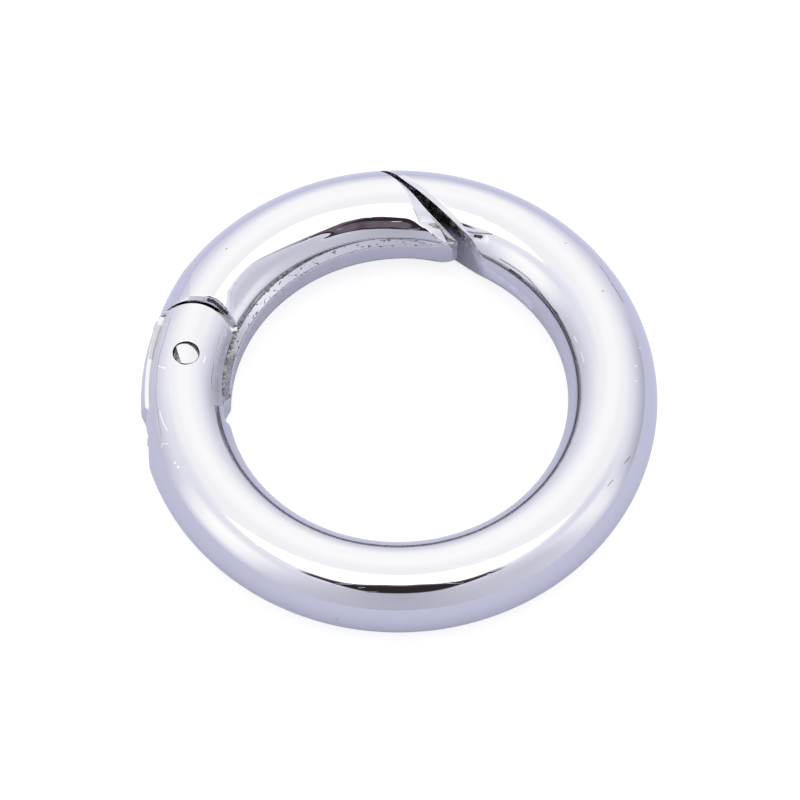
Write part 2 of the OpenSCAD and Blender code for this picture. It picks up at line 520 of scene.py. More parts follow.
@dataclass
class Workpiece:
    """A piece in the making: a bmesh in millimetres about the ring's axis.

    An edge that turns by more than sharp, in radians, can be rounded. Faces whose normals
    agree beyond the cosine alike are shaded as one.
    """

    sharp: float = 0.96
    alike: float = 0.72
    bm: bmesh.types.BMesh = field(default_factory=bmesh.new)

    def disc(self, turn: float, shape: Callable[[float], tuple[float, float]], sides: int = 120) -> None:
        """Lays the bar's section as one upright face.

        Args:
            turn: Direction in which it stands.
            shape: Gives the distance from the ring's axis and the height for an angle round the bar.
            sides: Number of its corners.
        """
        made = bmesh.ops.create_circle(self.bm, cap_ends=True, segments=sides, radius=1.0)
        for v in made["verts"]:
            out, z = shape(angle_of(v.co.x, v.co.y))
            v.co = polar(out, turn, z)

    def slice(self, faces: Iterable[Face], at: Vector, across: Vector) -> None:
        """Cuts faces along the plane at a place that lies across a direction."""
        bmesh.ops.bisect_plane(self.bm, geom=with_edges(faces), dist=TINY, plane_co=at, plane_no=across)

    def split(self, z: float, cuts: int) -> None:
        """Splits every face at two heights.

        Args:
            z: The upper height. The lower one mirrors it.
            cuts: Number of corners along each cut.
        """
        for height in (-z, z):
            self.slice(self.bm.faces, Vector((0, 0, height)), Vector((0, 0, 1)))
        inner = [e for e in self.bm.edges if len(e.link_faces) == 2]
        bmesh.ops.subdivide_edges(self.bm, edges=inner, cuts=cuts)

    def sweep(self, faces: list[Face], angle: float, steps: int) -> list[Face]:
        """Sweeps faces about the ring's axis into a solid bar.

        Args:
            faces: What is swept.
            angle: How far, in degrees.
            steps: Number of rows.

        Returns:
            The faces at the far end.
        """
        done = bmesh.ops.spin(
            self.bm,
            geom=with_edges(faces),
            cent=(0, 0, 0),
            axis=(0, 0, 1),
            dvec=(0, 0, 0),
            angle=math.radians(angle),
            steps=steps,
            use_merge=False,
            use_normal_flip=False,
            use_duplicate=False,
        )
        return [g for g in done["geom_last"] if isinstance(g, Face)]

    def refine(self, low: float, high: float, cuts: int) -> None:
        """Adds rows between two directions.

        Args:
            low: The first direction.
            high: The last direction.
            cuts: Rows between two that are there.
        """

        def runs_along(edge: Edge) -> bool:
            """Tells whether an edge runs along the bar between the directions.

            Args:
                edge: The edge.

            Returns:
                True for such an edge.
            """
            one, other = sorted(turn_of(v.co) for v in edge.verts)
            level = abs(edge.verts[0].co.z - edge.verts[1].co.z) < TINY
            return level and other - one > 0.05 and low < one and other < high

        edges = [e for e in self.bm.edges if runs_along(e)]
        bmesh.ops.subdivide_edges(self.bm, edges=edges, cuts=cuts, use_grid_fill=True)

    def one_cap(self, faces: list[Face], fold: float) -> None:
        """Joins an end's faces into one and cuts it along the line where it is folded later.

        Args:
            faces: The end's faces.
            fold: The fold's distance from the ring's axis.
        """
        turn = turn_of(faces[0].calc_center_median())
        cap = bmesh.ops.dissolve_faces(self.bm, faces=faces, use_verts=False)["region"]
        self.slice(cap, polar(fold, turn), polar(1, turn))

    def face_outwards(self) -> None:
        """Turns every face outwards."""
        bmesh.ops.recalc_face_normals(self.bm, faces=self.bm.faces)

    def soften(self, width: float, segments: int, pick: Callable[[Edge], bool] = lambda e: True) -> None:
        """Rounds the sharp outer edges.

        Args:
            width: How far the rounding reaches from the edge.
            segments: Number of its rows.
            pick: Tells which edges are rounded.
        """
        self.bm.normal_update()
        solid = (e for e in self.bm.edges if e.is_manifold)
        edges = [e for e in solid if e.calc_face_angle_signed(0.0) > self.sharp and pick(e)]
        bmesh.ops.bevel(
            self.bm,
            geom=edges,
            offset=width,
            offset_type="OFFSET",
            segments=segments,
            profile=0.5,
            affect="EDGES",
            clamp_overlap=True,
            material=-1,
        )

    def rule_caps(self, turn: float, step: float = 0.11) -> None:
        """Cuts an end's large faces into upright strips, so that they can be bent.

        Args:
            turn: Direction in which the end stands.
            step: Width of a strip.
        """
        along, across = polar(1, turn), polar(1, turn + 90)

        def in_end(face: Face) -> bool:
            """Tells whether a face lies in the end."""
            return all(abs(v.co.dot(across)) < 1e-3 and v.co.dot(along) > 0 for v in face.verts)

        for k in range(1, int(2 * PLAN.bar_r / step)):
            faces = [f for f in self.bm.faces if in_end(f)]
            self.slice(faces, polar(PLAN.ring_r - PLAN.bar_r + step * k, turn), along)

    def triangulate(self) -> None:
        """Cuts every face with more than four corners into triangles."""
        large = [f for f in self.bm.faces if len(f.verts) > 4]
        bmesh.ops.triangulate(self.bm, faces=large, quad_method="BEAUTY", ngon_method="BEAUTY")

    def reshape(self, place: Callable[[float, float, float], Vector]) -> None:
        """Moves every corner to where a rule puts its distance, direction and height."""
        for v in self.bm.verts:
            v.co = place(v.co.xy.length, turn_of(v.co), v.co.z)

    def drill(self, cutter: bmesh.types.BMesh) -> None:
        """Takes a cutter's space out of the piece.

        Args:
            cutter: The cutter, which is used up.
        """
        parts = [put_mesh("blank", self.bm), put_mesh("cutter", cutter)]
        cut = parts[0].modifiers.new("cut", "BOOLEAN")
        cut.operation, cut.solver, cut.object = "DIFFERENCE", "EXACT", parts[1]
        graph = bpy.context.evaluated_depsgraph_get()
        graph.update()
        done = bpy.data.meshes.new_from_object(parts[0].evaluated_get(graph))
        self.bm.clear()
        self.bm.from_mesh(done)
        cutter.free()
        for part in parts:
            mesh = part.data
            bpy.data.objects.remove(part)
            bpy.data.meshes.remove(mesh)
        bpy.data.meshes.remove(done)

    def finish(self, name: str, dress: Callable[[Face], int], skin: Skin = lambda p: None) -> Piece:
        """Closes the piece and makes its object, in metres.

        Args:
            name: The piece's name.
            dress: Gives a face's material slot.
            skin: Gives the polished bar's true normal at a point, or None off the bar.

        Returns:
            The object, at the origin.
        """
        bm = self.bm
        bmesh.ops.remove_doubles(bm, verts=bm.verts, dist=TINY)
        bmesh.ops.dissolve_degenerate(bm, dist=TINY / 10, edges=bm.edges)
        self.face_outwards()
        bm.normal_update()
        for face in bm.faces:
            face.smooth = True
            face.material_index = dress(face)
        normals = self.corner_normals(skin)
        bmesh.ops.translate(bm, verts=bm.verts, vec=(0, 0, PLAN.bar_r))
        bmesh.ops.scale(bm, verts=bm.verts, vec=(MM, MM, MM))
        piece = put_mesh(name, bm)
        piece.data.normals_split_custom_set(normals)
        bm.free()
        return piece

    def corner_normals(self, skin: Skin) -> list[Vector]:
        """Works out each face corner's normal: the bar's own, or a mean that leaves flats flat.

        Args:
            skin: Gives the polished bar's true normal at a point, or None off the bar.

        Returns:
            The normals, face by face.
        """
        normals = []
        self.bm.verts.index_update()
        self.bm.faces.index_update()
        true = {v.index: skin(v.co) for v in self.bm.verts}
        areas = {f.index: f.calc_area() for f in self.bm.faces}
        for face in self.bm.faces:
            for v in face.verts:
                own = true[v.index]
                if own is not None and own.dot(face.normal) > self.alike:
                    normals.append(own)
                    continue
                total = Vector()
                for other in v.link_faces:
                    if other.normal.dot(face.normal) > self.alike:
                        total += other.normal * areas[other.index]
                normals.append(total.normalized() if total.length > 0 else face.normal)
        return normals


@dataclass
class PolishedBar:
    """A piece of the round bar, whose ends are ground and polished over.

    A corner is on the polished surface when it lies at least core_r from the bar's centre
    line and no further than close from the surface.
    """

    core_r: float = 1.5
    close: float = 0.004
    beside: float = 0.2

    def cut(self, turn: float, angle: float, point: Vector) -> float:
        """Returns how deep the ground facets cut at a point of the bar."""
        return 0.0

    def plain(self, turn: float, angle: float) -> float:
        """Returns the bar's half thickness away from the facets."""
        return PLAN.bar_r

    def radius_at(self, turn: float, angle: float) -> float:
        """Works out the bar's half thickness with its facets.

        Args:
            turn: Direction.
            angle: Angle round the bar.

        Returns:
            The half thickness.
        """
        whole = found = self.plain(turn, angle)
        for _ in range(2):
            found = whole - self.cut(turn, angle, PLAN.on_bar(turn, angle, found))
        return found

    def warp(self, turn: float, radius: float) -> float:
        """Returns where a row of the plain sweep goes at a distance from the ring's axis."""
        return turn

    def bend(self, radius: float, turn: float, z: float) -> tuple[float, float, float]:
        """Moves a corner of the plain sweep onto the polished bar.

        Args:
            radius: Its distance from the ring's axis.
            turn: Its direction.
            z: Its height.

        Returns:
            Distance, direction and height on the polished bar.
        """
        out = radius - PLAN.ring_r
        angle = angle_of(out, z)
        goal = self.warp(turn, radius)
        share = 1.0
        for _ in range(3):
            share = self.radius_at(goal % 360, angle) / PLAN.bar_r
            goal = self.warp(turn, PLAN.ring_r + out * share)
        return PLAN.ring_r + out * share, goal, z * share

    def normal_of(self, turn: float, angle: float, radius: Callable[[float, float], float]) -> Vector:
        """Works out the normal of a bar whose half thickness a rule gives.

        Args:
            turn: Direction.
            angle: Angle round the bar.
            radius: The rule for the half thickness.

        Returns:
            The normal.
        """

        def at(t: float, a: float) -> Vector:
            """Returns the bar's point at a direction and an angle."""
            return PLAN.on_bar(t, a, radius(t, a % 360))

        along = at(turn + self.beside, angle) - at(turn - self.beside, angle)
        round_it = at(turn, angle + 3 * self.beside) - at(turn, angle - 3 * self.beside)
        return along.cross(round_it).normalized()

    def skin(self, point: Vector) -> Vector | None:
        """Works out the polished bar's normal at a point.

        Args:
            point: The point.

        Returns:
            The normal, or None where the point isn't on the polished bar.
        """
        turn, out = turn_of(point), point.xy.length - PLAN.ring_r
        angle = angle_of(out, point.z)
        depth = math.hypot(out, point.z)
        if depth < self.core_r or abs(depth - self.radius_at(turn, angle)) > self.close:
            return None
        own = self.plain_normal(turn, angle)
        if own is None or not self.near_cut(turn, angle):
            return own
        ground = self.normal_of(turn, angle, self.radius_at)
        return (ground + own - self.normal_of(turn, angle, self.plain)).normalized()

    def near_cut(self, turn: float, angle: float) -> bool:
        """Tells whether a facet or a dent begins beside a place.

        Args:
            turn: The place's direction.
            angle: Its angle round the bar.

        Returns:
            True beside or inside a facet or a dent.
        """
        one, three = self.beside, 3 * self.beside
        places = ((turn + t, angle + a) for t, a in ((0, 0), (-one, 0), (one, 0), (0, -three), (0, three)))
        return any(abs(self.cut(t, a, PLAN.on_bar(t, a, PLAN.bar_r))) > 1e-5 for t, a in places)

    def plain_normal(self, turn: float, angle: float) -> Vector | None:
        """Returns the bar's normal away from the facets."""
        a = math.radians(angle)
        return polar(math.cos(a), turn, math.sin(a))


class Slot(Enum):
    """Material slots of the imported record."""

    RING = "ring"
    GATE = "gate"
    PIN = "pin"
    SPRING = "spring"


@dataclass
class RingBody(PolishedBar):
    """The open ring: a round bar with a slanted nose and two ears for the hinge."""

    edge: float = 0.1
    slot_edge: float = 0.28
    rows: int = 150
    nose_rows: int = 56
    ear_rows: int = 44
    slot_corners: int = 12
    nose_from: float = 380.0
    nose_turn: float = 420.0
    nose_fold: float = 8.79
    fine: tuple[float, float] = (45.0, 59.3)
    ear_turn: float = 158.0
    ear_limit: float = 150.0
    hole_r: float = 0.65
    rim_r: float = 0.82
    rim_depth: float = 0.07
    rim_over: float = 0.3
    ear_flat: float = 11.97
    ear_lean: float = 0.379
    flat_ends: tuple[float, float] = (184.0, 190.0)
    floor_out: float = 12.22
    floor_ends: tuple[float, float] = (192.0, 198.5)
    floor_z: float = 1.4
    hidden_r: float = 11.7
    worn_from: float = 157.0
    worn_to: float = 188.0
    worn_lean: float = 48.0
    grinds: tuple[Grind, ...] = (
        Grind(0.5, ((0, 0.25), (60, 0.25), (95, 0.25), (105, 0.21), (114, 0.18), (125, 0.11), (135, 0))),
        Grind(0.9, ((0, 0.3), (50, 0.3), (65, 0.14), (95, 0.12), (125, 0.1), (135, 0))),
        Grind(0.55, ((0, 0.62), (38, 0.62), (55, 0.3), (70, 0))),
    )
    dents: tuple[Dent, ...] = (Dent((65.3, 132.3), (62.4, 128.6), 0.16, 0.03),)

    def section(self, angle: float) -> tuple[float, float]:
        """Lays the bar's section with corners at the slot's edges.

        Args:
            angle: Angle round the bar.

        Returns:
            Distance from the ring's axis and height.
        """
        lean = angle - side_of(angle)
        leans = ((0, 0), (24, 22), (27, PLAN.slot_angle), (30, 36.5), (33, 39), (90, 90))
        return PLAN.round_at(side_of(angle) + math.copysign(spread(abs(lean), leans), lean))

    def cut(self, turn: float, angle: float, point: Vector) -> float:
        """Works out how deep the nose's facets and dents are.

        Args:
            turn: Direction.
            angle: Angle round the bar.
            point: The point there.

        Returns:
            The depth.
        """
        if not 40 < turn < 90:
            return 0.0
        past = PLAN.past_nose(point)
        deep = max(0.0, *(grind.depth(angle, past) for grind in self.grinds))
        return deep + sum(dent.at(turn, angle) for dent in self.dents)

    def warp(self, turn: float, radius: float) -> float:
        """Spreads the rows up to the nose's face and to the ears' round ends.

        Args:
            turn: A row's direction in the plain sweep.
            radius: Distance from the ring's axis.

        Returns:
            The row's direction there.
        """
        if turn < 100:
            turn += 360
        if turn < PLAN.slot_end:
            t = (PLAN.slot_end - turn) / (PLAN.slot_end - self.ear_turn)
            return PLAN.slot_end - t * (PLAN.slot_end - PLAN.ear_end(radius))
        if turn > self.nose_from:
            t = (turn - self.nose_from) / (self.nose_turn - self.nose_from)
            return self.nose_from + t * (PLAN.nose_end(radius) + 360 - self.nose_from)
        return turn

    def flat_at(self, z: float) -> float:
        """Returns how far from the ring's axis the flat along the ears stands at a height."""
        return self.ear_flat - self.ear_lean * (abs(z) - PLAN.slot_z)

    def place(self, radius: float, turn: float, z: float) -> Vector:
        """Moves a corner of the plain swept bar to its place on the real one.

        Args:
            radius: Its distance from the ring's axis.
            turn: Its direction.
            z: Its height.

        Returns:
            Its place.
        """
        radius, goal, z = self.bend(radius, turn, z)
        if self.ear_limit < turn < PLAN.slot_end - 0.1 and abs(z) > PLAN.slot_z - SEAM:
            radius -= max(0.0, radius - self.flat_at(z)) * (1 - ease(goal, *self.flat_ends))
        elif PLAN.slot_end - 0.2 < goal < self.floor_ends[1] + 0.5 and abs(z) < self.floor_z:
            whole = PLAN.ring_r + PLAN.bar_r
            radius = min(radius, self.floor_out + (whole - self.floor_out) * ease(goal, *self.floor_ends))
        return polar(radius, goal, z)

    def pin_hole(self) -> bmesh.types.BMesh:
        """Builds the cutter for the pin's hole and its two funnels.

        Returns:
            The cutter.
        """
        at = PLAN.pin_at()
        bm = bmesh.new()
        top = PLAN.bar_r + self.rim_over
        low = PLAN.bar_r - self.rim_depth
        wide = self.hole_r + (self.rim_r - self.hole_r) / self.rim_depth * (top - low)
        made = bmesh.ops.create_circle(bm, cap_ends=True, segments=72, radius=1.0)
        stack = ((-top, wide), (-low, self.hole_r), (low, self.hole_r), (top, wide))
        for v in made["verts"]:
            v.co = Vector((at.x + v.co.x * wide, at.y + v.co.y * wide, -top))
        faces = list(bm.faces)
        for (_, r0), (z1, r1) in zip(stack, stack[1:]):
            last = faces if len(bm.faces) > 1 else []
            out = bmesh.ops.extrude_face_region(bm, geom=faces)["geom"]
            bmesh.ops.delete(bm, geom=last, context="FACES_ONLY")
            faces = [g for g in out if isinstance(g, Face)]
            for v in (g for g in out if isinstance(g, Vert)):
                v.co = Vector((at.x + (v.co.x - at.x) * r1 / r0, at.y + (v.co.y - at.y) * r1 / r0, z1))
        bmesh.ops.recalc_face_normals(bm, faces=bm.faces)
        return bm

    def build(self) -> Piece:
        """Builds the ring's body.

        Returns:
            The piece.
        """
        work = Workpiece()
        work.disc(PLAN.slot_end, self.section)
        work.split(PLAN.slot_z, self.slot_corners)
        whole = list(work.bm.faces)
        front = work.sweep(whole, self.nose_from - PLAN.slot_end, self.rows)
        nose = work.sweep(front, self.nose_turn - self.nose_from, self.nose_rows)
        floor = [f for f in work.bm.faces if self.at_floor(f)]
        ears = [f for f in floor if abs(f.calc_center_median().z) > PLAN.slot_z]
        work.sweep(ears, self.ear_turn - PLAN.slot_end, self.ear_rows)
        work.one_cap(nose, self.nose_fold)
        work.face_outwards()
        work.soften(self.slot_edge, 5, self.outer_slot_edge)
        work.soften(self.edge, 4)
        work.refine(*self.fine, 2)
        work.rule_caps(self.ear_turn)
        work.triangulate()
        work.reshape(self.place)
        work.drill(self.pin_hole())
        return work.finish("ring_body_polished", self.dress, self.skin)

    def at_floor(self, face: Face) -> bool:
        """Tells whether a face stands at the slot's floor."""
        return all(abs(turn_of(v.co) - PLAN.slot_end) < 0.01 for v in face.verts)

    def outer_slot_edge(self, edge: Edge) -> bool:
        """Tells whether an edge is an ear's outer edge along the slot.

        Args:
            edge: The edge.

        Returns:
            True for such an edge.
        """
        return all(
            abs(abs(v.co.z) - PLAN.slot_z) < 0.01
            and v.co.xy.length > PLAN.ring_r + 1
            and turn_of(v.co) < PLAN.slot_end + 0.01
            for v in edge.verts
        )

    def skin(self, point: Vector) -> Vector | None:
        """Works out the normal of the bar, or of the flat along an ear's outer side.

        Args:
            point: The point.

        Returns:
            The normal, or None where the point is on neither.
        """
        high = self.flat_at(point.z)
        beside = point.x < -8 and self.ear_limit < turn_of(point) < self.flat_ends[0]
        if beside and abs(point.z) > PLAN.slot_z - SEAM and abs(point.xy.length - high) < 0.003:
            side = Vector((point.x / high, point.y / high, math.copysign(self.ear_lean, point.z)))
            return side.normalized()
        return super().skin(point)

    def dress(self, face: Face) -> int:
        """Gives the nose's face and the slot's insides their own finishes; the slot's insides are painted
        dark as shade.

        Args:
            face: The face.

        Returns:
            0 plating, 1 nose face with a painted shadow, 2 slot inside painted dark as shade, 3 worn inner
            side.
        """
        c, normal = face.calc_center_median(), face.normal
        radius, turn = c.xy.length, turn_of(c)
        inwards = -polar(1, PLAN.nose_turn).dot(normal)
        near = c.xy.dot(polar(1, PLAN.nose_turn).xy) - PLAN.nose_dist
        if inwards > 0.9 and abs(near) < 0.5 and abs(normal.z) < 0.2 and c.y > 5:
            return 1
        if (c.xy - PLAN.pin_at().xy).length < self.hole_r + 0.01 and abs(normal.z) < 0.5:
            return 2
        in_slot = abs(c.z) < PLAN.slot_z + SEAM and self.ear_limit < turn < PLAN.slot_end + 0.02
        if in_slot and c.x < -7.5:
            # Hidden faces in the slot are painted dark as shade.
            hidden = radius < self.hidden_r and (abs(normal.z) > 0.95 or abs(c.z) < PLAN.slot_z - SEAM)
            return 2 if hidden else 0
        lean = math.degrees(math.atan2(abs(c.z), PLAN.ring_r - radius))
        return 3 if self.worn_from < turn < self.worn_to and lean < self.worn_lean else 0


@dataclass
class Gate(PolishedBar):
    """The hinged gate: a bar with a slanted tip, a flat land inside and a tongue between the ears."""

    edge: float = 0.08
    sides: int = 240
    rows: int = 100
    tongue_rows: int = 36
    slot_corners: int = 12
    tip_turn: float = 72.0
    tip_fold: float = 8.425
    mid_turn: float = 122.0
    shoulder_turn: float = 157.0
    fine_tip: tuple[float, float] = (72.8, 90.0)
    fine_shoulder: tuple[float, float] = (142.0, 156.2)
    tail_round: float = 3.2
    tail_rise: tuple[float, float] = (11.2, 12.4)
    bore_r: float = 0.7
    wall_r: float = 9.2
    wall_z: float = 0.985
    wall_fade: float = 0.7
    blunt_fade: float = 0.7
    blunt_height: float = 0.25
    polish: GatePolish = field(default_factory=GatePolish)
    tip_grinds: tuple[Grind, ...] = (
        Grind(0.62, ((60, 0), (90, 0.2), (113, 0.53), (131, 0.76), (138, 0.6), (146, 0.55), (155, 0.44),
                     (165, 0.3), (180, 0.25))),
        Grind(1.2, ((0, 0.06), (60, 0.06), (80, 0.05), (120, 0.08), (130, 0.2), (150, 0.3), (180, 0.3))),
        Grind(0.2, ((150, 0), (165, 0.9), (180, 0.9))),
    )
    shoulder_grinds: tuple[Grind, ...] = (
        Grind(1.0, ((28, 0), (50, 0.14), (90, 0.18), (180, 0.18))),
        Grind(0.66, ((85, 0), (95, 0.3), (110, 0.3), (130, 0.15), (140, 0))),
        Grind(0.065, ((0, 2.3), (45, 2.3), (75, 0))),
    )
    inner: Steps = (
        (0, 0), (2.25, 0.16), (4.5, 0.32), (6, 0.46), (7.5, 0.6), (9, 0.68), (12, 0.8), (15, 0.9), (18, 0.97),
    )
    groove: tuple[tuple[float, float], ...] = ((8.335, 0.965), (8.375, 0.94), (8.405, 0.94), (8.435, 0.96))
    groove_z: float = 0.9
    groove_r: tuple[float, float] = (8.32, 8.45)

    def section(self, angle: float) -> tuple[float, float]:
        """Lays the gate's section: round outside, with the land, its slants and a groove inside.

        Args:
            angle: Angle round the bar.

        Returns:
            Distance from the ring's axis and height.
        """
        side = side_of(angle)
        lean = angle - side
        a = abs(lean)
        if side != 180:
            edge = math.degrees(math.asin(PLAN.tongue_z / PLAN.bar_r))
            leans = ((0, 0), (21, 19), (24, edge), (27, edge + 8), (30, edge + 11), (90, 90))
            return PLAN.round_at(side + math.copysign(spread(a, leans), lean))
        if a < 18.7:
            z = -math.copysign(spread(a, self.inner), lean)
            return PLAN.plain_wall(z), z
        if a < 24.7:
            radius, z = self.groove[min(3, int((a - 19) / 1.5 + 0.1))]
            return radius, -math.copysign(z, lean)
        a = spread(a, ((25.5, PLAN.slot_angle), (72, 62), (90, 90)))
        return PLAN.round_at(side + math.copysign(a, lean))

    def cut(self, turn: float, angle: float, point: Vector) -> float:
        """Works out how deep the facets at the tip and at the shoulder are.

        Args:
            turn: Direction.
            angle: Angle round the bar.
            point: The point there.

        Returns:
            The depth.
        """
        if 100 <= turn <= 140:
            return 0.0
        tip = turn < 100
        past = PLAN.past_tip(point) if tip else PLAN.past_shoulder(point)
        grinds = self.tip_grinds if tip else self.shoulder_grinds
        return max(0.0, *(grind.depth(angle, past) for grind in grinds))

    def plain(self, turn: float, angle: float) -> float:
        """Returns the gate's half thickness, fuller where its inner top side is polished."""
        return self.polish.radius(turn, 180 - angle) if 80 < angle < 180 else PLAN.bar_r

    def plain_normal(self, turn: float, angle: float) -> Vector | None:
        """Works out the polished normal on the inner top side and the bar's own elsewhere.

        Args:
            turn: Direction.
            angle: Angle round the bar.

        Returns:
            The normal, or None on the land and its slants.
        """
        if abs(angle - 180) < 27.6:
            return None
        if 80 < angle < 180:
            return self.polish.normal(turn, 180 - angle)
        return super().plain_normal(turn, angle)

    def warp(self, turn: float, radius: float) -> float:
        """Spreads the rows up to the tip, the shoulder and the tongue's end.

        Args:
            turn: A row's direction in the plain sweep.
            radius: Distance from the ring's axis.

        Returns:
            The row's direction there.
        """
        if turn < self.mid_turn:
            t = (self.mid_turn - turn) / (self.mid_turn - self.tip_turn)
            return self.mid_turn - t * (self.mid_turn - PLAN.tip_end(radius))
        if turn < self.shoulder_turn:
            t = (turn - self.mid_turn) / (self.shoulder_turn - self.mid_turn)
            return self.mid_turn + t * (PLAN.shoulder_end(radius) - self.mid_turn)
        t = (turn - self.shoulder_turn) / (PLAN.tongue_end - self.shoulder_turn)
        start = PLAN.shoulder_end(radius)
        end = PLAN.tail_end(radius) - self.tail_round * ease(radius, *self.tail_rise)
        return start + t * (end - start)

    def place(self, radius: float, turn: float, z: float) -> Vector:
        """Moves a corner of the plain swept bar to its place on the real gate.

        Args:
            radius: Its distance from the ring's axis.
            turn: Its direction.
            z: Its height.

        Returns:
            Its place.
        """
        nominal, flat_z = turn, z
        in_tongue = turn > self.shoulder_turn + 0.2
        if abs(z) < self.wall_z and radius < self.wall_r:
            turn = self.warp(turn, radius)
            plain = PLAN.plain_wall(z)
            in_groove = abs(z) > self.groove_z and self.groove_r[0] < radius < self.groove_r[1]
            shift = PLAN.inner_wall(z, turn) - plain
            radius += shift * within((self.wall_r - radius) / (self.wall_r - plain))
            radius = min(radius, self.groove_r[1]) if in_groove else radius
            z = self.narrow(z, PLAN.past_blunt(radius, turn))
            if not in_tongue:
                radius, z = self.taper(radius, turn, z)
        elif in_tongue:
            turn = self.warp(turn, radius)
        else:
            radius, turn, z = self.bend(radius, turn, z)
        point = polar(radius, turn, z)
        if in_tongue and abs(flat_z) < PLAN.tongue_z + 0.01:
            back = ease(nominal, self.shoulder_turn, self.shoulder_turn + 1.5)
            back *= ease(radius, PLAN.ring_r, PLAN.ring_r + 1.2)
            point -= polar(PLAN.tongue_dip * back, PLAN.pin_turn)
        return point

    def taper(self, radius: float, turn: float, z: float) -> tuple[float, float]:
        """Takes the land back with the facets at the tip and the shoulder.

        Args:
            radius: A corner's distance from the ring's axis.
            turn: Its direction.
            z: Its height.

        Returns:
            Its new distance and height.
        """
        lean = math.atan2(z, PLAN.ring_r - radius)
        deep = self.cut(turn, 180 - math.degrees(lean), polar(radius, turn, z))
        deep *= within((self.wall_r - radius) / self.wall_fade)
        if turn > self.mid_turn:
            deep *= ease(abs(z), PLAN.tongue_z, self.wall_z)
        return radius + deep * math.cos(lean), z - deep * math.sin(lean)

    def narrow(self, z: float, past: float) -> float:
        """Draws the land's height in towards the blunt end.

        Args:
            z: A corner's height.
            past: How far behind the blunt end it lies.

        Returns:
            Its new height.
        """
        near = 1 - within(past / self.blunt_fade)
        k = self.blunt_height + (1 - self.blunt_height) * math.sqrt(1 - near * near)
        if abs(z) <= PLAN.land_z:
            return k * z
        rest = (abs(z) - PLAN.land_z) / (PLAN.slant_z - PLAN.land_z)
        return math.copysign(k * PLAN.land_z + rest * (PLAN.slant_z - k * PLAN.land_z), z)

    def build(self) -> Piece:
        """Builds the gate.

        Returns:
            The piece.
        """
        work = Workpiece()
        work.disc(self.shoulder_turn, self.section, self.sides)
        work.split(PLAN.tongue_z, self.slot_corners)
        whole = list(work.bm.faces)
        tip = work.sweep(whole, self.tip_turn - self.shoulder_turn, self.rows)
        start = [f for f in work.bm.faces if self.at_shoulder(f)]
        middle = [f for f in start if abs(f.calc_center_median().z) < PLAN.tongue_z]
        work.sweep(middle, PLAN.tongue_end - self.shoulder_turn, self.tongue_rows)
        work.one_cap(tip, self.tip_fold)
        work.face_outwards()
        work.soften(self.edge, 3)
        work.refine(*self.fine_tip, 2)
        work.refine(*self.fine_shoulder, 2)
        work.rule_caps(self.shoulder_turn)
        work.rule_caps(PLAN.tongue_end)
        work.triangulate()
        work.reshape(self.place)
        bore = bmesh.new()
        bmesh.ops.create_cone(
            bore,
            cap_ends=True,
            segments=64,
            radius1=self.bore_r,
            radius2=self.bore_r,
            depth=4,
            matrix=Matrix.Translation(PLAN.pin_at()),
        )
        work.drill(bore)
        return work.finish("gate_polished", self.dress, self.skin)

    def at_shoulder(self, face: Face) -> bool:
        """Tells whether a face stands at the gate's shoulder."""
        return all(abs(turn_of(v.co) - self.shoulder_turn) < 0.01 for v in face.verts)

    def dress(self, face: Face) -> int:
        """Gives the land, its slants and the tongue's flats their own finishes.

        Args:
            face: The face.

        Returns:
            0 plating, 1 land, 2 slant, 3 groove and tongue, painted dark as shade.
        """
        c = face.calc_center_median()
        radius, high, level = c.xy.length, abs(c.z), abs(face.normal.z)
        inwards = -(face.normal.x * c.x + face.normal.y * c.y) / radius
        # The tongue's flats and the groove are painted dark as shade.
        if turn_of(c) > 160 and level > 0.95 and radius < 11.8:
            return 3
        if high > 0.93 and 8.3 < radius < 8.46 and (high < 0.97 or inwards < 0.4):
            return 3
        if radius > 8.9 or inwards < 0.4 or high > PLAN.slant_z:
            return 0
        return 1 if level < 0.35 else 2


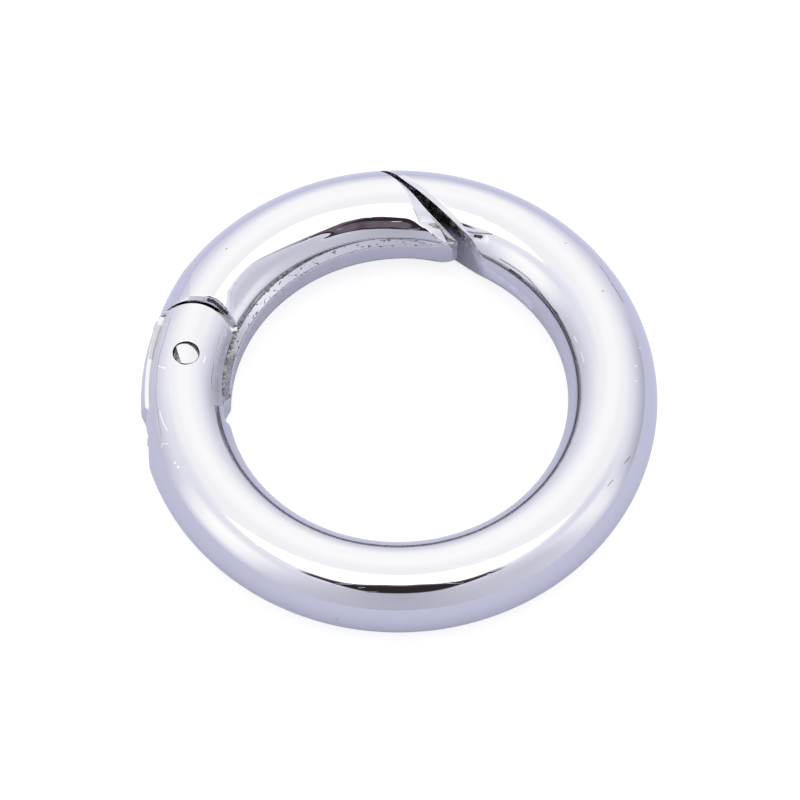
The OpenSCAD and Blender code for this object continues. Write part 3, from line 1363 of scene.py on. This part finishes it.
@dataclass
class HingePin:
    """The pin through the ears, polished nearly flush with the bar."""

    radius: float = 0.61
    chamfer: float = 0.025
    ring: float = 0.09
    dip: float = 0.02
    fall: float = 0.14
    flat_turn: float = 195.2
    flat_at: float = 0.378
    step: float = 0.012
    ledge: float = 0.12

    def head(self, x: float, y: float) -> float:
        """Works out the height of the pin's polished head.

        Args:
            x: Place beside the pin's axis, to the right.
            y: Place beside the pin's axis, to the back.

        Returns:
            The height.
        """
        at = PLAN.pin_at()
        out = math.hypot(at.x + x, at.y + y) - PLAN.ring_r
        low = self.dip + self.fall * max(0.0, (0.5 * x + 0.87 * y) / self.radius)
        if Vector((x, y, 0)).dot(polar(1, self.flat_turn)) > self.flat_at + 0.005:
            low = self.ledge
        return math.sqrt(PLAN.bar_r**2 - out * out) - low

    def build(self) -> Piece:
        """Builds the hinge pin.

        Returns:
            The piece.
        """
        work = Workpiece()
        bm = work.bm
        at = PLAN.pin_at()
        bmesh.ops.create_circle(bm, cap_ends=True, segments=72, radius=self.radius)
        top = list(bm.faces)
        for width in (self.chamfer, *[self.ring] * 5):
            bmesh.ops.inset_region(bm, faces=top, thickness=width)
        bmesh.ops.poke(bm, faces=top)
        for dist in (self.flat_at, self.flat_at + self.step):
            work.slice(bm.faces, polar(dist, self.flat_turn), polar(1, self.flat_turn))
        under = bmesh.ops.extrude_face_region(bm, geom=list(bm.faces), use_keep_orig=True)["geom"]
        low = {g for g in under if isinstance(g, Vert)}
        for v in bm.verts:
            edge = self.chamfer if v.co.xy.length > self.radius - 0.01 else 0.0
            z = self.head(v.co.x, v.co.y) - edge
            v.co = Vector((v.co.x + at.x, v.co.y + at.y, -z if v in low else z))
        return work.finish("hinge_pin_polished", self.dress)

    def dress(self, face: Face) -> int:
        """Gives the pin's walls and the step beside its flat a rougher finish, painted dark as shade.

        Args:
            face: The face.

        Returns:
            0 plating, 1 rough and painted dark as shade.
        """
        c = face.calc_center_median()
        beside = (c - PLAN.pin_at()).dot(polar(1, self.flat_turn)) > self.flat_at + 0.002
        return 1 if beside or abs(face.normal.z) < 0.5 else 0


@dataclass
class Spring:
    """The coil spring between the slot's floor and the tongue."""

    ring_r: float = 9.3
    coil_r: float = 0.4
    wire_r: float = 0.1
    low: float = -2.36
    high: float = 0.642
    turns: int = 7
    rows: int = 28
    sides: int = 12

    def build(self) -> Piece:
        """Builds the spring.

        Returns:
            The piece.
        """
        work = Workpiece()
        bm = work.bm
        upright = Matrix.Rotation(math.pi / 2, 4, "X")
        made = bmesh.ops.create_circle(
            bm,
            cap_ends=False,
            segments=self.sides,
            radius=self.wire_r,
            matrix=Matrix.Translation((self.coil_r, 0, 0)) @ upright,
        )
        rise = self.high - self.low - 2 * self.wire_r
        steps = self.turns * self.rows
        bmesh.ops.spin(
            bm,
            geom=[*made["verts"], *{e for v in made["verts"] for e in v.link_edges}],
            cent=(0, 0, 0),
            axis=(0, 0, 1),
            dvec=(0, 0, rise / steps),
            angle=math.tau * self.turns,
            steps=steps,
            use_merge=False,
            use_duplicate=False,
        )
        bmesh.ops.holes_fill(bm, edges=[e for e in bm.edges if e.is_boundary], sides=self.sides)
        at = polar(self.ring_r, PLAN.slot_end)
        stand = Matrix.Translation(at) @ Matrix.Rotation(math.radians(PLAN.slot_end), 4, "Z") @ upright
        bmesh.ops.translate(bm, verts=bm.verts, vec=(0, 0, self.low + self.wire_r))
        bmesh.ops.transform(bm, matrix=stand, verts=bm.verts)
        return work.finish("spring_wire", lambda f: 0)


def new_group(name: str, given: dict[str, str], made: dict[str, str]) -> Tree:
    """Makes a node group with named sockets and no nodes.

    Args:
        name: The group's name.
        given: The kind of each input.
        made: The kind of each output.

    Returns:
        The group.
    """
    tree = bpy.data.node_groups.new(name, "ShaderNodeTree")
    for way, sockets in (("INPUT", given), ("OUTPUT", made)):
        for socket, kind in sockets.items():
            tree.interface.new_socket(socket, in_out=way, socket_type="NodeSocket" + kind)
    return tree


class Wiring:
    """Short ways to lay shader nodes."""

    def __init__(self, tree: Tree) -> None:
        """Starts with an empty tree."""
        self.tree = tree
        tree.nodes.clear()

    def add(self, kind: str, **settings: object) -> bpy.types.Node:
        """Adds a node.

        Args:
            kind: The node's type.
            settings: Its settings, and values or sources for its sockets, by name.

        Returns:
            The node.
        """
        node = self.tree.nodes.new(kind)
        for name, value in settings.items():
            if hasattr(node, name):
                setattr(node, name, value)
            else:
                self.feed(node.inputs[name.replace("_", " ")], value)
        return node

    def feed(self, socket: Socket, value: object) -> None:
        """Sets a socket, or links it.

        Args:
            socket: The socket.
            value: Its value, or the socket that it is linked to.
        """
        if isinstance(value, Socket):
            self.tree.links.new(value, socket)
        else:
            socket.default_value = value

    def laid(self, kind: str, operation: str, values: tuple[object, ...]) -> bpy.types.Node:
        """Adds a node that works something out.

        Args:
            kind: The node's type.
            operation: What it works out.
            values: What its first sockets are fed.

        Returns:
            The node.
        """
        node = self.add(kind, operation=operation)
        for socket, value in zip(node.inputs, values):
            self.feed(socket, value)
        return node

    def math(self, operation: str, *values: object, clamp: bool = False) -> Socket:
        """Works out a number.

        Args:
            operation: The Math node's operation.
            values: What it works on.
            clamp: Whether the result is held between 0 and 1.

        Returns:
            The result.
        """
        node = self.laid("ShaderNodeMath", operation, values)
        node.use_clamp = clamp
        return node.outputs[0]

    def times(self, one: object, other: object) -> Socket:
        """Multiplies two numbers."""
        return self.math("MULTIPLY", one, other)

    def plus(self, one: object, other: object, clamp: bool = False) -> Socket:
        """Adds two numbers."""
        return self.math("ADD", one, other, clamp=clamp)

    def minus(self, one: object, other: object, clamp: bool = False) -> Socket:
        """Takes one number from another."""
        return self.math("SUBTRACT", one, other, clamp=clamp)

    def vector(self, operation: str, *values: object, out: str = "Vector") -> Socket:
        """Works out a vector, or a number from vectors."""
        return self.laid("ShaderNodeVectorMath", operation, values).outputs[out]

    def step(self, value: object, low: object, high: object, start: float = 0.0, end: float = 1.0) -> Socket:
        """Lays a smooth step between two values.

        Args:
            value: Where to read.
            low: Where the step starts.
            high: Where it ends.
            start: What it gives before it starts.
            end: What it gives after its end.

        Returns:
            The value there.
        """
        node = self.add("ShaderNodeMapRange", interpolation_type="SMOOTHSTEP", Value=value)
        for name, bound in (("From Min", low), ("From Max", high), ("To Min", start), ("To Max", end)):
            self.feed(node.inputs[name], bound)
        return node.outputs[0]

    def mix(self, factor: object, low: object, high: object, kind: str = "RGBA") -> Socket:
        """Mixes two colours or values.

        Args:
            factor: The share of the second.
            low: The first.
            high: The second.
            kind: What is mixed.

        Returns:
            The mix.
        """
        node = self.add("ShaderNodeMix", data_type=kind)
        near = [s for s in node.inputs if s.enabled]
        for socket, value in zip(near, (factor, low, high)):
            self.feed(socket, value)
        return next(s for s in node.outputs if s.enabled)

    def noise(self, place: Socket, scale: float, detail: float, **more: float) -> Socket:
        """Lays a soft noise over a place."""
        node = self.add("ShaderNodeTexNoise", Vector=place, Scale=scale, Detail=detail, **more)
        return node.outputs["Fac"]

    def place(self, kind: str = "Object") -> Socket:
        """Returns the place that is shaded, in the object's own frame or as a direction."""
        return self.add("ShaderNodeTexCoord").outputs[kind]

    def colour(self, value: object, green: object = None, blue: object = None) -> Socket:
        """Makes a colour of one value, or of three.

        Args:
            value: Its red, and all of it where nothing else is given.
            green: Its green.
            blue: Its blue.

        Returns:
            The colour.
        """
        green, blue = (value if part is None else part for part in (green, blue))
        return self.add("ShaderNodeCombineColor", Red=value, Green=green, Blue=blue).outputs[0]


class Finish(Enum):
    """Names of the finishes."""

    PLATING = "polished_plating"
    GATE = "gate_plating"
    LAND = "brushed_land"
    TRIM = "trimmed_slant"
    CAST = "nose_face"
    # The slot's hidden insides: gritty cast metal painted dark as shade.
    SHADED_RECESS = "slot_inside"
    WORN = "worn_inner_side"
    WIRE = "spring_wire"


# The wear effects, and a painted shadow.
WEAR_AND_SHADOW = ("Gloss", "Ripple", "Scratches", "Brushed", "Grit", "Specks", "Stain")
# Bright marks: real nicks painted near white, a painted glint.
NICK_GLINT_COLOUR = (0.95, 0.95, 0.95, 1)
# Dark marks: real specks, and painted dark reflections and painted shade.
DARK_SPECK_AND_SHADE_COLOUR = (0.04, 0.03, 0.03, 1)
DARK_SPECK_AND_REFLECTION = 0.53


@dataclass(frozen=True)
class Mark:
    """A mark on the plating, along a line of places round the ring: real nicks and specks, and painted
    glints, reflections and shade.

    A mark with dark above 0 is painted dark at that strength: some are real specks, the rest painted dark
    reflections and painted shade. The others are real nicks painted bright as glints.
    """

    places: tuple[tuple[float, float], ...]
    width: float = 0.035
    dark: float = 0.0
    sink: float = 0.0

    def points(self) -> list[Vector]:
        """Returns its corners in metres."""
        lift, bar_r = Vector((0, 0, PLAN.bar_r)), PLAN.bar_r - self.sink
        return [(PLAN.on_bar(turn, angle, bar_r) + lift) * MM for turn, angle in self.places]


@dataclass(frozen=True)
class MetalFinish:
    """One metal finish: its colour, gloss, ripple, scratches, brushed lines, grit, specks, painted shadow and
    marks, which include painted glints, reflections and shade.
    """

    colour: tuple[float, float, float] = (0.56, 0.56, 0.565)
    gloss: float = 0.025
    ripple: float = 0.012
    scratches: float = 0.2
    brushed: float = 0.0
    grit: float = 0.0
    specks: float = 0.0
    stain: float = 0.0
    marks: tuple[Mark, ...] = ()

    def mark_mask(self, w: Wiring, line: Tree, dark: bool) -> Socket | None:
        """Joins the dark or the bright marks into one mask.

        Args:
            w: The material's wiring.
            line: The shared short line.
            dark: Which marks are joined.

        Returns:
            The mask, or None without such marks.
        """
        mask = None
        for mark in (m for m in self.marks if (m.dark > 0) == dark):
            points = mark.points()
            for start, end in zip(points, points[1:] or points):
                node = w.add("ShaderNodeGroup", node_tree=line, From=start, To=end, Width=mark.width * MM)
                own = w.times(node.outputs["Mask"], mark.dark) if dark else node.outputs["Mask"]
                mask = own if mask is None else w.math("MAXIMUM", mask, own)
        return mask

    def make(self, name: str, groups: dict[str, Tree]) -> bpy.types.Material:
        """Makes the material.

        Args:
            name: The material's name.
            groups: The shared effects by name.

        Returns:
            The material.
        """
        material = bpy.data.materials.new(name)
        material.use_nodes = True
        w = Wiring(material.node_tree)
        values = {effect: getattr(self, effect.lower()) for effect in WEAR_AND_SHADOW}
        wear_and_shadow = w.add("ShaderNodeGroup", node_tree=groups["polish_wear"], **values)
        tint = w.add("ShaderNodeMix", data_type="RGBA", blend_type="MULTIPLY", Factor=1.0)
        w.feed(tint.inputs["A"], (*self.colour, 1))
        w.feed(tint.inputs["B"], wear_and_shadow.outputs["Shade"])
        colour, rough = tint.outputs["Result"], wear_and_shadow.outputs["Roughness"]
        # Painted glints: the nicks are painted near white.
        nick_glints = self.mark_mask(w, groups["short_line"], False)
        if nick_glints is not None:
            colour = w.mix(w.times(nick_glints, 0.7), colour, NICK_GLINT_COLOUR)
            rough = w.plus(rough, w.times(nick_glints, 0.2))
        # Dark marks: real specks, and painted dark reflections and painted shade.
        cuts = self.mark_mask(w, groups["short_line"], True)
        if cuts is not None:
            colour = w.mix(cuts, colour, DARK_SPECK_AND_SHADE_COLOUR)
        shader = w.add("ShaderNodeBsdfPrincipled", Metallic=1.0, Base_Color=colour, Roughness=rough)
        w.feed(shader.inputs["Normal"], wear_and_shadow.outputs["Normal"])
        w.add("ShaderNodeOutputMaterial", Surface=shader.outputs[0])
        return material


class SharedEffects:
    """Node groups that more than one finish uses."""

    def __init__(self) -> None:
        """Builds the groups once."""
        self.groups = {"polish_wear": self.polish_wear(), "short_line": self.short_line()}

    def short_line(self) -> Tree:
        """Builds the mask of a short ragged line between two points.

        Returns:
            The group.
        """
        sockets = {"From": "Vector", "To": "Vector", "Width": "Float"}
        tree = new_group("short_line", sockets, {"Mask": "Float"})
        w = Wiring(tree)
        given = w.add("NodeGroupInput").outputs
        place = w.place()
        line = w.vector("SUBTRACT", given["To"], given["From"])
        away = w.vector("SUBTRACT", place, given["From"])
        along = w.vector("DOT_PRODUCT", away, line, out="Value")
        length = w.math("MAXIMUM", w.vector("DOT_PRODUCT", line, line, out="Value"), 1e-12)
        share = w.math("DIVIDE", along, length, clamp=True)
        near = w.add("ShaderNodeVectorMath", operation="SCALE", Scale=share)
        w.feed(near.inputs[0], line)
        rest = w.vector("SUBTRACT", away, near.outputs["Vector"])
        dist = w.vector("LENGTH", rest, out="Value")
        edge = w.times(given["Width"], w.plus(0.35, w.noise(place, 9000.0, 1.0)))
        w.add("NodeGroupOutput", Mask=w.step(w.math("DIVIDE", dist, edge), 1.0, 0.55))
        return tree

    def scratches(self, w: Wiring) -> Socket:
        """Draws fine scratches in two directions.

        Args:
            w: The group's wiring.

        Returns:
            Their mask.
        """
        lines = None
        for turn, scale in (((0.3, 0.5, 0.4), 260.0), ((1.1, -0.4, 2.0), 340.0)):
            bent = w.add("ShaderNodeMapping", vector_type="POINT", Vector=w.place(), Rotation=turn)
            w.feed(bent.inputs["Scale"], (1, 26, 26))
            line = w.step(w.noise(bent.outputs[0], scale, 0.0), 0.745, 0.78)
            lines = line if lines is None else w.math("MAXIMUM", lines, line)
        return lines

    def streaks(self, w: Wiring, along: float, up: float, scale: float, detail: float) -> Socket:
        """Draws lines round the ring.

        Args:
            w: The group's wiring.
            along: How close the pattern is round the ring.
            up: How close it is from line to line.
            scale: Scale of its noise.
            detail: Detail of its noise.

        Returns:
            The pattern.
        """
        parts = w.add("ShaderNodeSeparateXYZ", Vector=w.place()).outputs
        around = w.times(w.math("ARCTAN2", parts["Y"], parts["X"]), along)
        at = w.add("ShaderNodeCombineXYZ", X=around, Y=w.times(parts["Z"], up))
        return w.noise(at.outputs[0], scale, detail)

    def grit(self, w: Wiring) -> Socket:
        """Draws the fine grit of a casting in patches.

        Args:
            w: The group's wiring.

        Returns:
            Its mask.
        """
        place = w.place()
        fine = w.step(w.noise(place, 9000.0, 4.0), 0.42, 0.62)
        return w.times(fine, w.step(w.noise(place, 2600.0, 2.0), 0.4, 0.55))

    def stain(self, w: Wiring, strength: Socket) -> Socket:
        """Paints brownish clouds of shade on the ring's upper half: a painted shadow.

        Args:
            w: The group's wiring.
            strength: How strong they are.

        Returns:
            Their mask.
        """
        place = w.place()
        cloud = w.noise(place, 1500.0, 4.0, Roughness=0.65)
        height = w.step(w.add("ShaderNodeSeparateXYZ", Vector=place).outputs["Z"], 0.0026, 0.0032)
        return w.times(w.step(cloud, 0.35, 0.6), w.times(height, strength))

    def polish_wear(self) -> Tree:
        """Builds casting ripple, fine scratches, brushed lines, grit, specks and a painted shadow.

        Returns:
            The group.
        """
        made = {"Shade": "Color", "Roughness": "Float", "Normal": "Vector"}
        tree = new_group("polish_wear", dict.fromkeys(WEAR_AND_SHADOW, "Float"), made)
        w = Wiring(tree)
        given = w.add("NodeGroupInput").outputs
        wave = w.times(w.noise(w.place(), 420.0, 1.0), given["Ripple"])
        lines = w.times(self.scratches(w), given["Scratches"])
        streaks = w.times(self.streaks(w, 16.0, 90.0, 6.0, 3.0), given["Brushed"])
        grit = w.times(self.grit(w), given["Grit"])
        dashes = self.streaks(w, 14.0, 3400.0, 2.4, 2.0)
        specks = w.times(w.step(dashes, 0.61, 0.66), given["Specks"])

        height = w.plus(w.times(lines, -0.004), wave)
        height = w.plus(height, w.times(streaks, 0.05))
        height = w.plus(height, w.times(grit, 0.06))
        height = w.minus(height, w.times(specks, 0.03))
        bump = w.add("ShaderNodeBump", Height=height, Distance=0.001)

        rough = w.plus(given["Gloss"], w.times(lines, 0.2))
        rough = w.plus(rough, w.times(streaks, 0.35))
        rough = w.plus(rough, w.times(w.plus(grit, specks), 0.3), clamp=True)

        dark = w.math("MAXIMUM", w.times(grit, 0.55), w.times(specks, 0.7))
        shade = w.colour(w.minus(1.0, dark, clamp=True))
        # Painted shadow: brown clouds darken the upper part; the nose face uses it for the shade of its
        # narrow gap to the gate's tip.
        shade = w.mix(self.stain(w, given["Stain"]), shade, (0.30, 0.22, 0.17, 1))
        w.add("NodeGroupOutput", Shade=shade, Roughness=rough, Normal=bump.outputs["Normal"])
        return tree


@dataclass(frozen=True)
class Panel:
    """A soft panel of the studio's tent: where it hangs, how large and how bright.

    Tones are given as they look on screen, from 0 for black to 255 for white, in the plating.
    """

    turn: float
    half_turn: float
    low: float
    high: float
    tone_low: float
    tone_high: float
    soft_turn: float
    soft: float


@dataclass
class Studio:
    """The plain pale floor, the white tent of light round it and the camera.

    Directions go clockwise from the back, and heights are angles above the horizon. The
    tent's tones are those of a Panel, and metal is how much of them the plating reflects.
    """

    elevation: float = 60.25
    distance: float = 310.5
    lens: float = 290.0
    aim: tuple[float, float] = (0.1, -0.12)
    floor_r: float = 0.6
    floor_colours: tuple[tuple[float, ...], ...] = ((0.645, 0.655, 0.79, 1), (0.665, 0.675, 0.81, 1))
    metal: float = 0.56
    wall_tones: tuple[float, float] = (205.0, 240.0)
    lamp_tone: float = 285.0
    slit_turn: float = 178.0
    slit_tones: tuple[float, float] = (45.0, 105.0)
    panels: tuple[Panel, ...] = (
        Panel(0, 26, 15, 65, 246, 250, 30, 30),
        Panel(-74, 18, -10, 50, 185, 226, 30, 10),
        Panel(68, 22, -10, 45, 165, 228, 20, 20),
        Panel(-100, 44, 42, 60, 222, 230, 30, 10),
        Panel(110, 34, 40, 55, 210, 218, 30, 10),
        Panel(-114, 18, 8, 42, 245, 255, 25, 20),
        Panel(106, 14, 8, 42, 235, 245, 20, 20),
        Panel(130, 18, -10, 42, 205, 200, 30, 20),
        Panel(180, 32, -10, 48, 175, 170, 75, 10),
    )

    def away_from(self, w: Wiring, turn: Socket, middle: float) -> Socket:
        """Returns the angle between a direction and the middle of a panel."""
        return w.math("ABSOLUTE", w.math("WRAP", w.minus(turn, middle), 180.0, -180.0))

    def hang(self, w: Wiring, tone: Socket, turn: Socket, rise: Socket, panel: Panel) -> Socket:
        """Hangs a panel in the tent.

        Args:
            w: The world's wiring.
            tone: The tent's tone so far.
            turn: The direction that is looked in.
            rise: Its height.
            panel: The panel.

        Returns:
            The tone with the panel.
        """
        p, half, wide = panel, panel.soft / 2, panel.soft_turn / 2
        side = w.step(self.away_from(w, turn, p.turn), p.half_turn + wide, p.half_turn - wide)
        above = w.step(rise, p.low - half, p.low + half)
        below = w.step(rise, p.high + half, p.high - half)
        mask = w.times(side, w.times(above, below))
        return w.mix(mask, tone, w.step(rise, p.low, p.high, p.tone_low, p.tone_high), "FLOAT")

    def slit(self, w: Wiring, tone: Socket, turn: Socket, rise: Socket) -> Socket:
        """Cuts the dark slit into the tent's front, wide in the middle and narrow at its ends.

        Args:
            w: The world's wiring.
            tone: The tent's tone so far.
            turn: The direction that is looked in.
            rise: Its height.

        Returns:
            The tone with the slit.
        """
        around = self.away_from(w, turn, self.slit_turn)
        low = w.step(around, 8.0, 40.0, 45.5, 51.5)
        over = w.minus(rise, w.step(around, 8.0, 30.0, 66.5, 57.5))
        mask = w.times(w.step(w.minus(rise, low), -1.5, 1.5), w.step(over, 0.7, -0.7))
        mask = w.times(mask, w.step(around, 48.0, 40.0))
        return w.mix(mask, tone, w.step(over, -4.5, -1.5, *self.slit_tones), "FLOAT")

    def tinted(self, w: Wiring, tone: Socket) -> Socket:
        """Tints the tent: white at its brightest, bluish below that and brown in the slit.

        Args:
            w: The world's wiring.
            tone: The tent's tone.

        Returns:
            The colour.
        """
        brown = w.step(tone, 135.0, 105.0)
        green = w.minus(1.0, w.times(brown, 0.22))
        blue = w.plus(w.step(tone, 255.0, 205.0, 1.0, 1.17), w.step(tone, 205.0, 150.0, 0.0, 0.07))
        return w.colour(1.0, green, w.minus(blue, w.times(brown, 0.28)))

    def tent(self) -> None:
        """Lights the world as a white tent with softer panels and one dark slit."""
        world = bpy.data.worlds.new("tent")
        bpy.context.scene.world = world
        world.use_nodes = True
        w = Wiring(world.node_tree)
        parts = w.add("ShaderNodeSeparateXYZ", Vector=w.place("Generated")).outputs
        rise = w.times(w.math("ARCSINE", parts["Z"]), 180 / math.pi)
        turn = w.times(w.math("ARCTAN2", parts["X"], parts["Y"]), 180 / math.pi)
        tone = w.step(rise, 0.0, 50.0, *self.wall_tones)
        for panel in self.panels:
            tone = self.hang(w, tone, turn, rise, panel)
        lamp = w.times(w.step(parts["Y"], 0.06, -0.01), w.step(parts["Z"], 0.835, 0.865))
        tone = w.mix(lamp, tone, self.lamp_tone, "FLOAT")
        tone = self.slit(w, tone, turn, rise)
        linear = w.math("POWER", w.math("DIVIDE", w.plus(w.math("DIVIDE", tone, 255.0), 0.055), 1.055), 2.4)
        strength = w.math("DIVIDE", linear, self.metal)
        back = w.add("ShaderNodeBackground", Color=self.tinted(w, tone), Strength=strength)
        w.add("ShaderNodeOutputWorld", Surface=back.outputs[0])

    def floor(self) -> None:
        """Lays the pale floor, which the camera sees whiter than the ring reflects it."""
        bm = bmesh.new()
        bmesh.ops.create_circle(bm, cap_ends=True, segments=96, radius=self.floor_r)
        floor = put_mesh("floor", bm)
        bm.free()
        material = bpy.data.materials.new("pale_floor")
        material.use_nodes = True
        w = Wiring(material.node_tree)
        tone = w.mix(w.noise(w.place(), 60.0, 2.0), *self.floor_colours)
        lit = w.add("ShaderNodeBsdfDiffuse", Color=tone)
        pale = w.add("ShaderNodeBsdfDiffuse", Color=(0.28, 0.28, 0.28, 1))
        glow = w.add("ShaderNodeEmission", Color=(1, 1, 1, 1), Strength=0.8)
        seen = w.add("ShaderNodeAddShader")
        both = w.add("ShaderNodeMixShader")
        direct = w.add("ShaderNodeLightPath").outputs["Is Camera Ray"]
        for node, sources in (
            (seen, (pale.outputs[0], glow.outputs[0])),
            (both, (direct, lit.outputs[0], seen.outputs[0])),
        ):
            for socket, source in zip(node.inputs, sources):
                w.feed(socket, source)
        w.add("ShaderNodeOutputMaterial", Surface=both.outputs[0])
        floor.data.materials.append(material)

    def camera(self) -> None:
        """Sets the camera at the photograph's angle."""
        data = bpy.data.cameras.new("camera")
        data.sensor_width, data.lens = 36.0, self.lens
        data.clip_start, data.clip_end = 0.01, 5.0
        camera = put("camera", data)
        a = math.radians(self.elevation)
        back = Vector((0, -math.cos(a), math.sin(a)))
        up = Vector((0, math.sin(a), math.cos(a)))
        aim = Vector((self.aim[0], 0, PLAN.bar_r)) + up * self.aim[1]
        camera.location = (aim + back * self.distance) * MM
        camera.rotation_euler = (math.pi / 2 - a, 0, 0)
        bpy.context.scene.camera = camera
        bpy.context.scene.view_settings.view_transform = "Standard"

    def build(self) -> None:
        """Builds the studio."""
        self.tent()
        self.floor()
        self.camera()


RING_MARKS = (
    # Nicks painted bright: painted glints on real nicks.
    Mark(((172.8, 118.7), (175.0, 117.1))),
    Mark(((176.4, 56.3), (177.5, 67.2))),
    Mark(((170.5, 143.5), (171.4, 144.6))),
    Mark(((189.1, 56.9), (191.4, 57.7), (194.6, 61.2))),
    Mark(((197.7, 46.0), (197.2, 50.0), (198.0, 56.0))),
    Mark(((203.4, 55.5),), 0.09),
    Mark(((204.8, 56.8),), 0.08),
    Mark(((16.6, 134.3), (14.2, 132.9))),
    Mark(((10.2, 130.9), (6.5, 129.2))),
    Mark(((3.4, 61.0), (3.5, 57.9))),
    Mark(((359.1, 62.1), (359.3, 59.1))),
    Mark(((8.8, 50.0), (9.0, 46.2))),
    Mark(((25.7, 74.4), (25.6, 71.8)), 0.04, DARK_SPECK_AND_REFLECTION),
    Mark(((42.6, 72.2), (42.4, 69.8)), 0.04, DARK_SPECK_AND_REFLECTION),
    Mark(((337.2, 50.3), (339.4, 47.1)), 0.04, DARK_SPECK_AND_REFLECTION),
    Mark(((329.6, 55.6), (331.7, 54.1)), 0.04, DARK_SPECK_AND_REFLECTION),
    Mark(((256.4, 4.5), (256.9, 5.5)), 0.05, DARK_SPECK_AND_REFLECTION),
    Mark(((33.1, 51.9), (30.5, 51.7), (27.3, 52.9)), 0.035, DARK_SPECK_AND_REFLECTION),
    Mark(((27.3, 52.9), (24.5, 51.5), (21.9, 50.8)), 0.055, DARK_SPECK_AND_REFLECTION),
    # Painted dark reflections: long dark lines along the bar on the ears and the inner sides.
    Mark(((164.0, 132.7), (169.7, 133.8), (175.3, 132.4), (179.0, 131.0), (182.5, 132.0), (186.2, 135.4),
          (189.5, 139.1)), 0.03, 0.5),
    Mark(((162.9, 58.6), (168.4, 59.6), (172.9, 56.9), (177.5, 55.6), (184.2, 53.5), (188.7, 53.3),
          (195.4, 51.2)), 0.03, 0.4),
    Mark(((54.8, 144.4), (48.9, 143.2), (43.2, 142.4), (36.9, 144.4), (29.9, 145.0), (22.8, 145.0),
          (16.4, 142.6), (8.7, 141.7)), 0.05, 0.6),
    # Painted dark reflection in the nose's dent, and its thin dark line.
    Mark(((65.2, 131.0), (63.4, 129.6)), 0.13, 0.97, 0.04),
    Mark(((67.8, 129.0), (65.6, 127.5), (63.0, 123.5), (60.5, 120.2)), 0.04, 0.8),
)
GATE_MARKS = (
    Mark(((139.4, 73.8),), 0.08, DARK_SPECK_AND_REFLECTION),
    # Painted dark reflection: the dark wedge on the gate's shoulder.
    Mark(((154.9, 98.0), (154.7, 104.0), (154.9, 111.0), (155.2, 119.0), (155.4, 128.0)), 0.14, 0.95, 0.12),
    # Painted shade in the narrow gap between the tongue's top and the ear.
    Mark(((163.5, 28.7), (167.0, 28.7), (172.0, 28.7)), 0.14, 0.3, 0.212),
    # Painted dark reflection line along the lower edge of the gate's highlight.
    Mark(((118.0, 124.8), (122.0, 124.9), (126.0, 123.2), (130.0, 120.8), (134.0, 117.6), (138.0, 114.6),
          (142.0, 113.9), (146.0, 114.4), (148.0, 116.2), (150.0, 118.9), (152.0, 124.4), (155.0, 133.4)),
         0.022, DARK_SPECK_AND_REFLECTION),
    # Painted dark reflection line on the tip's facet.
    Mark(((85.7, 112.9), (84.6, 120.0), (83.6, 132.0)), 0.03, DARK_SPECK_AND_REFLECTION),
)

FINISHES = {
    Finish.PLATING: MetalFinish(marks=RING_MARKS),
    Finish.GATE: MetalFinish(ripple=0.004, marks=GATE_MARKS),
    Finish.LAND: MetalFinish(gloss=0.16, brushed=0.5, ripple=0.0),
    Finish.TRIM: MetalFinish((0.6, 0.6, 0.605), gloss=0.12, specks=1.0, ripple=0.0, scratches=0.1),
    # The nose face gets a painted shadow: brown clouds for the shade of its narrow gap to the gate's tip.
    Finish.CAST: MetalFinish((0.74, 0.74, 0.75), gloss=0.14, brushed=0.3, grit=0.2, ripple=0.0, stain=1.0),
    # Painted shade: the hidden recesses in the slot, the groove, the tongue's flats and the pin's walls are
    # painted dark.
    Finish.SHADED_RECESS: MetalFinish((0.25, 0.25, 0.26), gloss=0.35, grit=0.6, ripple=0.0),
    Finish.WORN: MetalFinish((0.6, 0.6, 0.61), gloss=0.28, brushed=0.15, grit=0.12, ripple=0.01),
    Finish.WIRE: MetalFinish((0.4, 0.4, 0.42), gloss=0.25, ripple=0.0, scratches=0.1),
}


def coat(piece: Piece, metals: dict[Finish, bpy.types.Material], *finishes: Finish) -> None:
    """Gives a piece its finishes, in the order of its material slots."""
    for finish in finishes:
        piece.data.materials.append(metals[finish])


def report(piece: Piece, body: str, node: str, slot: Slot) -> None:
    """Hangs a piece on its body in place of its node, and logs it.

    Args:
        piece: The piece.
        body: Name of the body that it rides on.
        node: Name of the node that it replaces.
        slot: Its material slot; not used.
    """
    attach(piece, body)
    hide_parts(node)
    LOG.info("%s: %d faces in place of %s", piece.name, len(piece.data.polygons), node)


def main() -> None:
    """Builds the pieces in order."""
    logging.basicConfig(level=logging.INFO, format="%(name)s: %(message)s")
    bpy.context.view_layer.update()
    Studio().build()
    effects = SharedEffects()
    metals = {finish: metal.make(finish.value, effects.groups) for finish, metal in FINISHES.items()}
    body = RingBody().build()
    coat(body, metals, Finish.PLATING, Finish.CAST, Finish.SHADED_RECESS, Finish.WORN)
    report(body, "ring", "ring_body", Slot.RING)
    gate = Gate().build()
    coat(gate, metals, Finish.GATE, Finish.LAND, Finish.TRIM, Finish.SHADED_RECESS)
    report(gate, "gate", "gate", Slot.GATE)
    pin = HingePin().build()
    coat(pin, metals, Finish.PLATING, Finish.SHADED_RECESS)
    report(pin, "ring", "hinge_pin", Slot.PIN)
    spring = Spring().build()
    coat(spring, metals, Finish.WIRE)
    report(spring, "ring", "spring", Slot.SPRING)
    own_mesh(spring)
    bpy.context.view_layer.update()


if __name__ == "__main__":
    main()
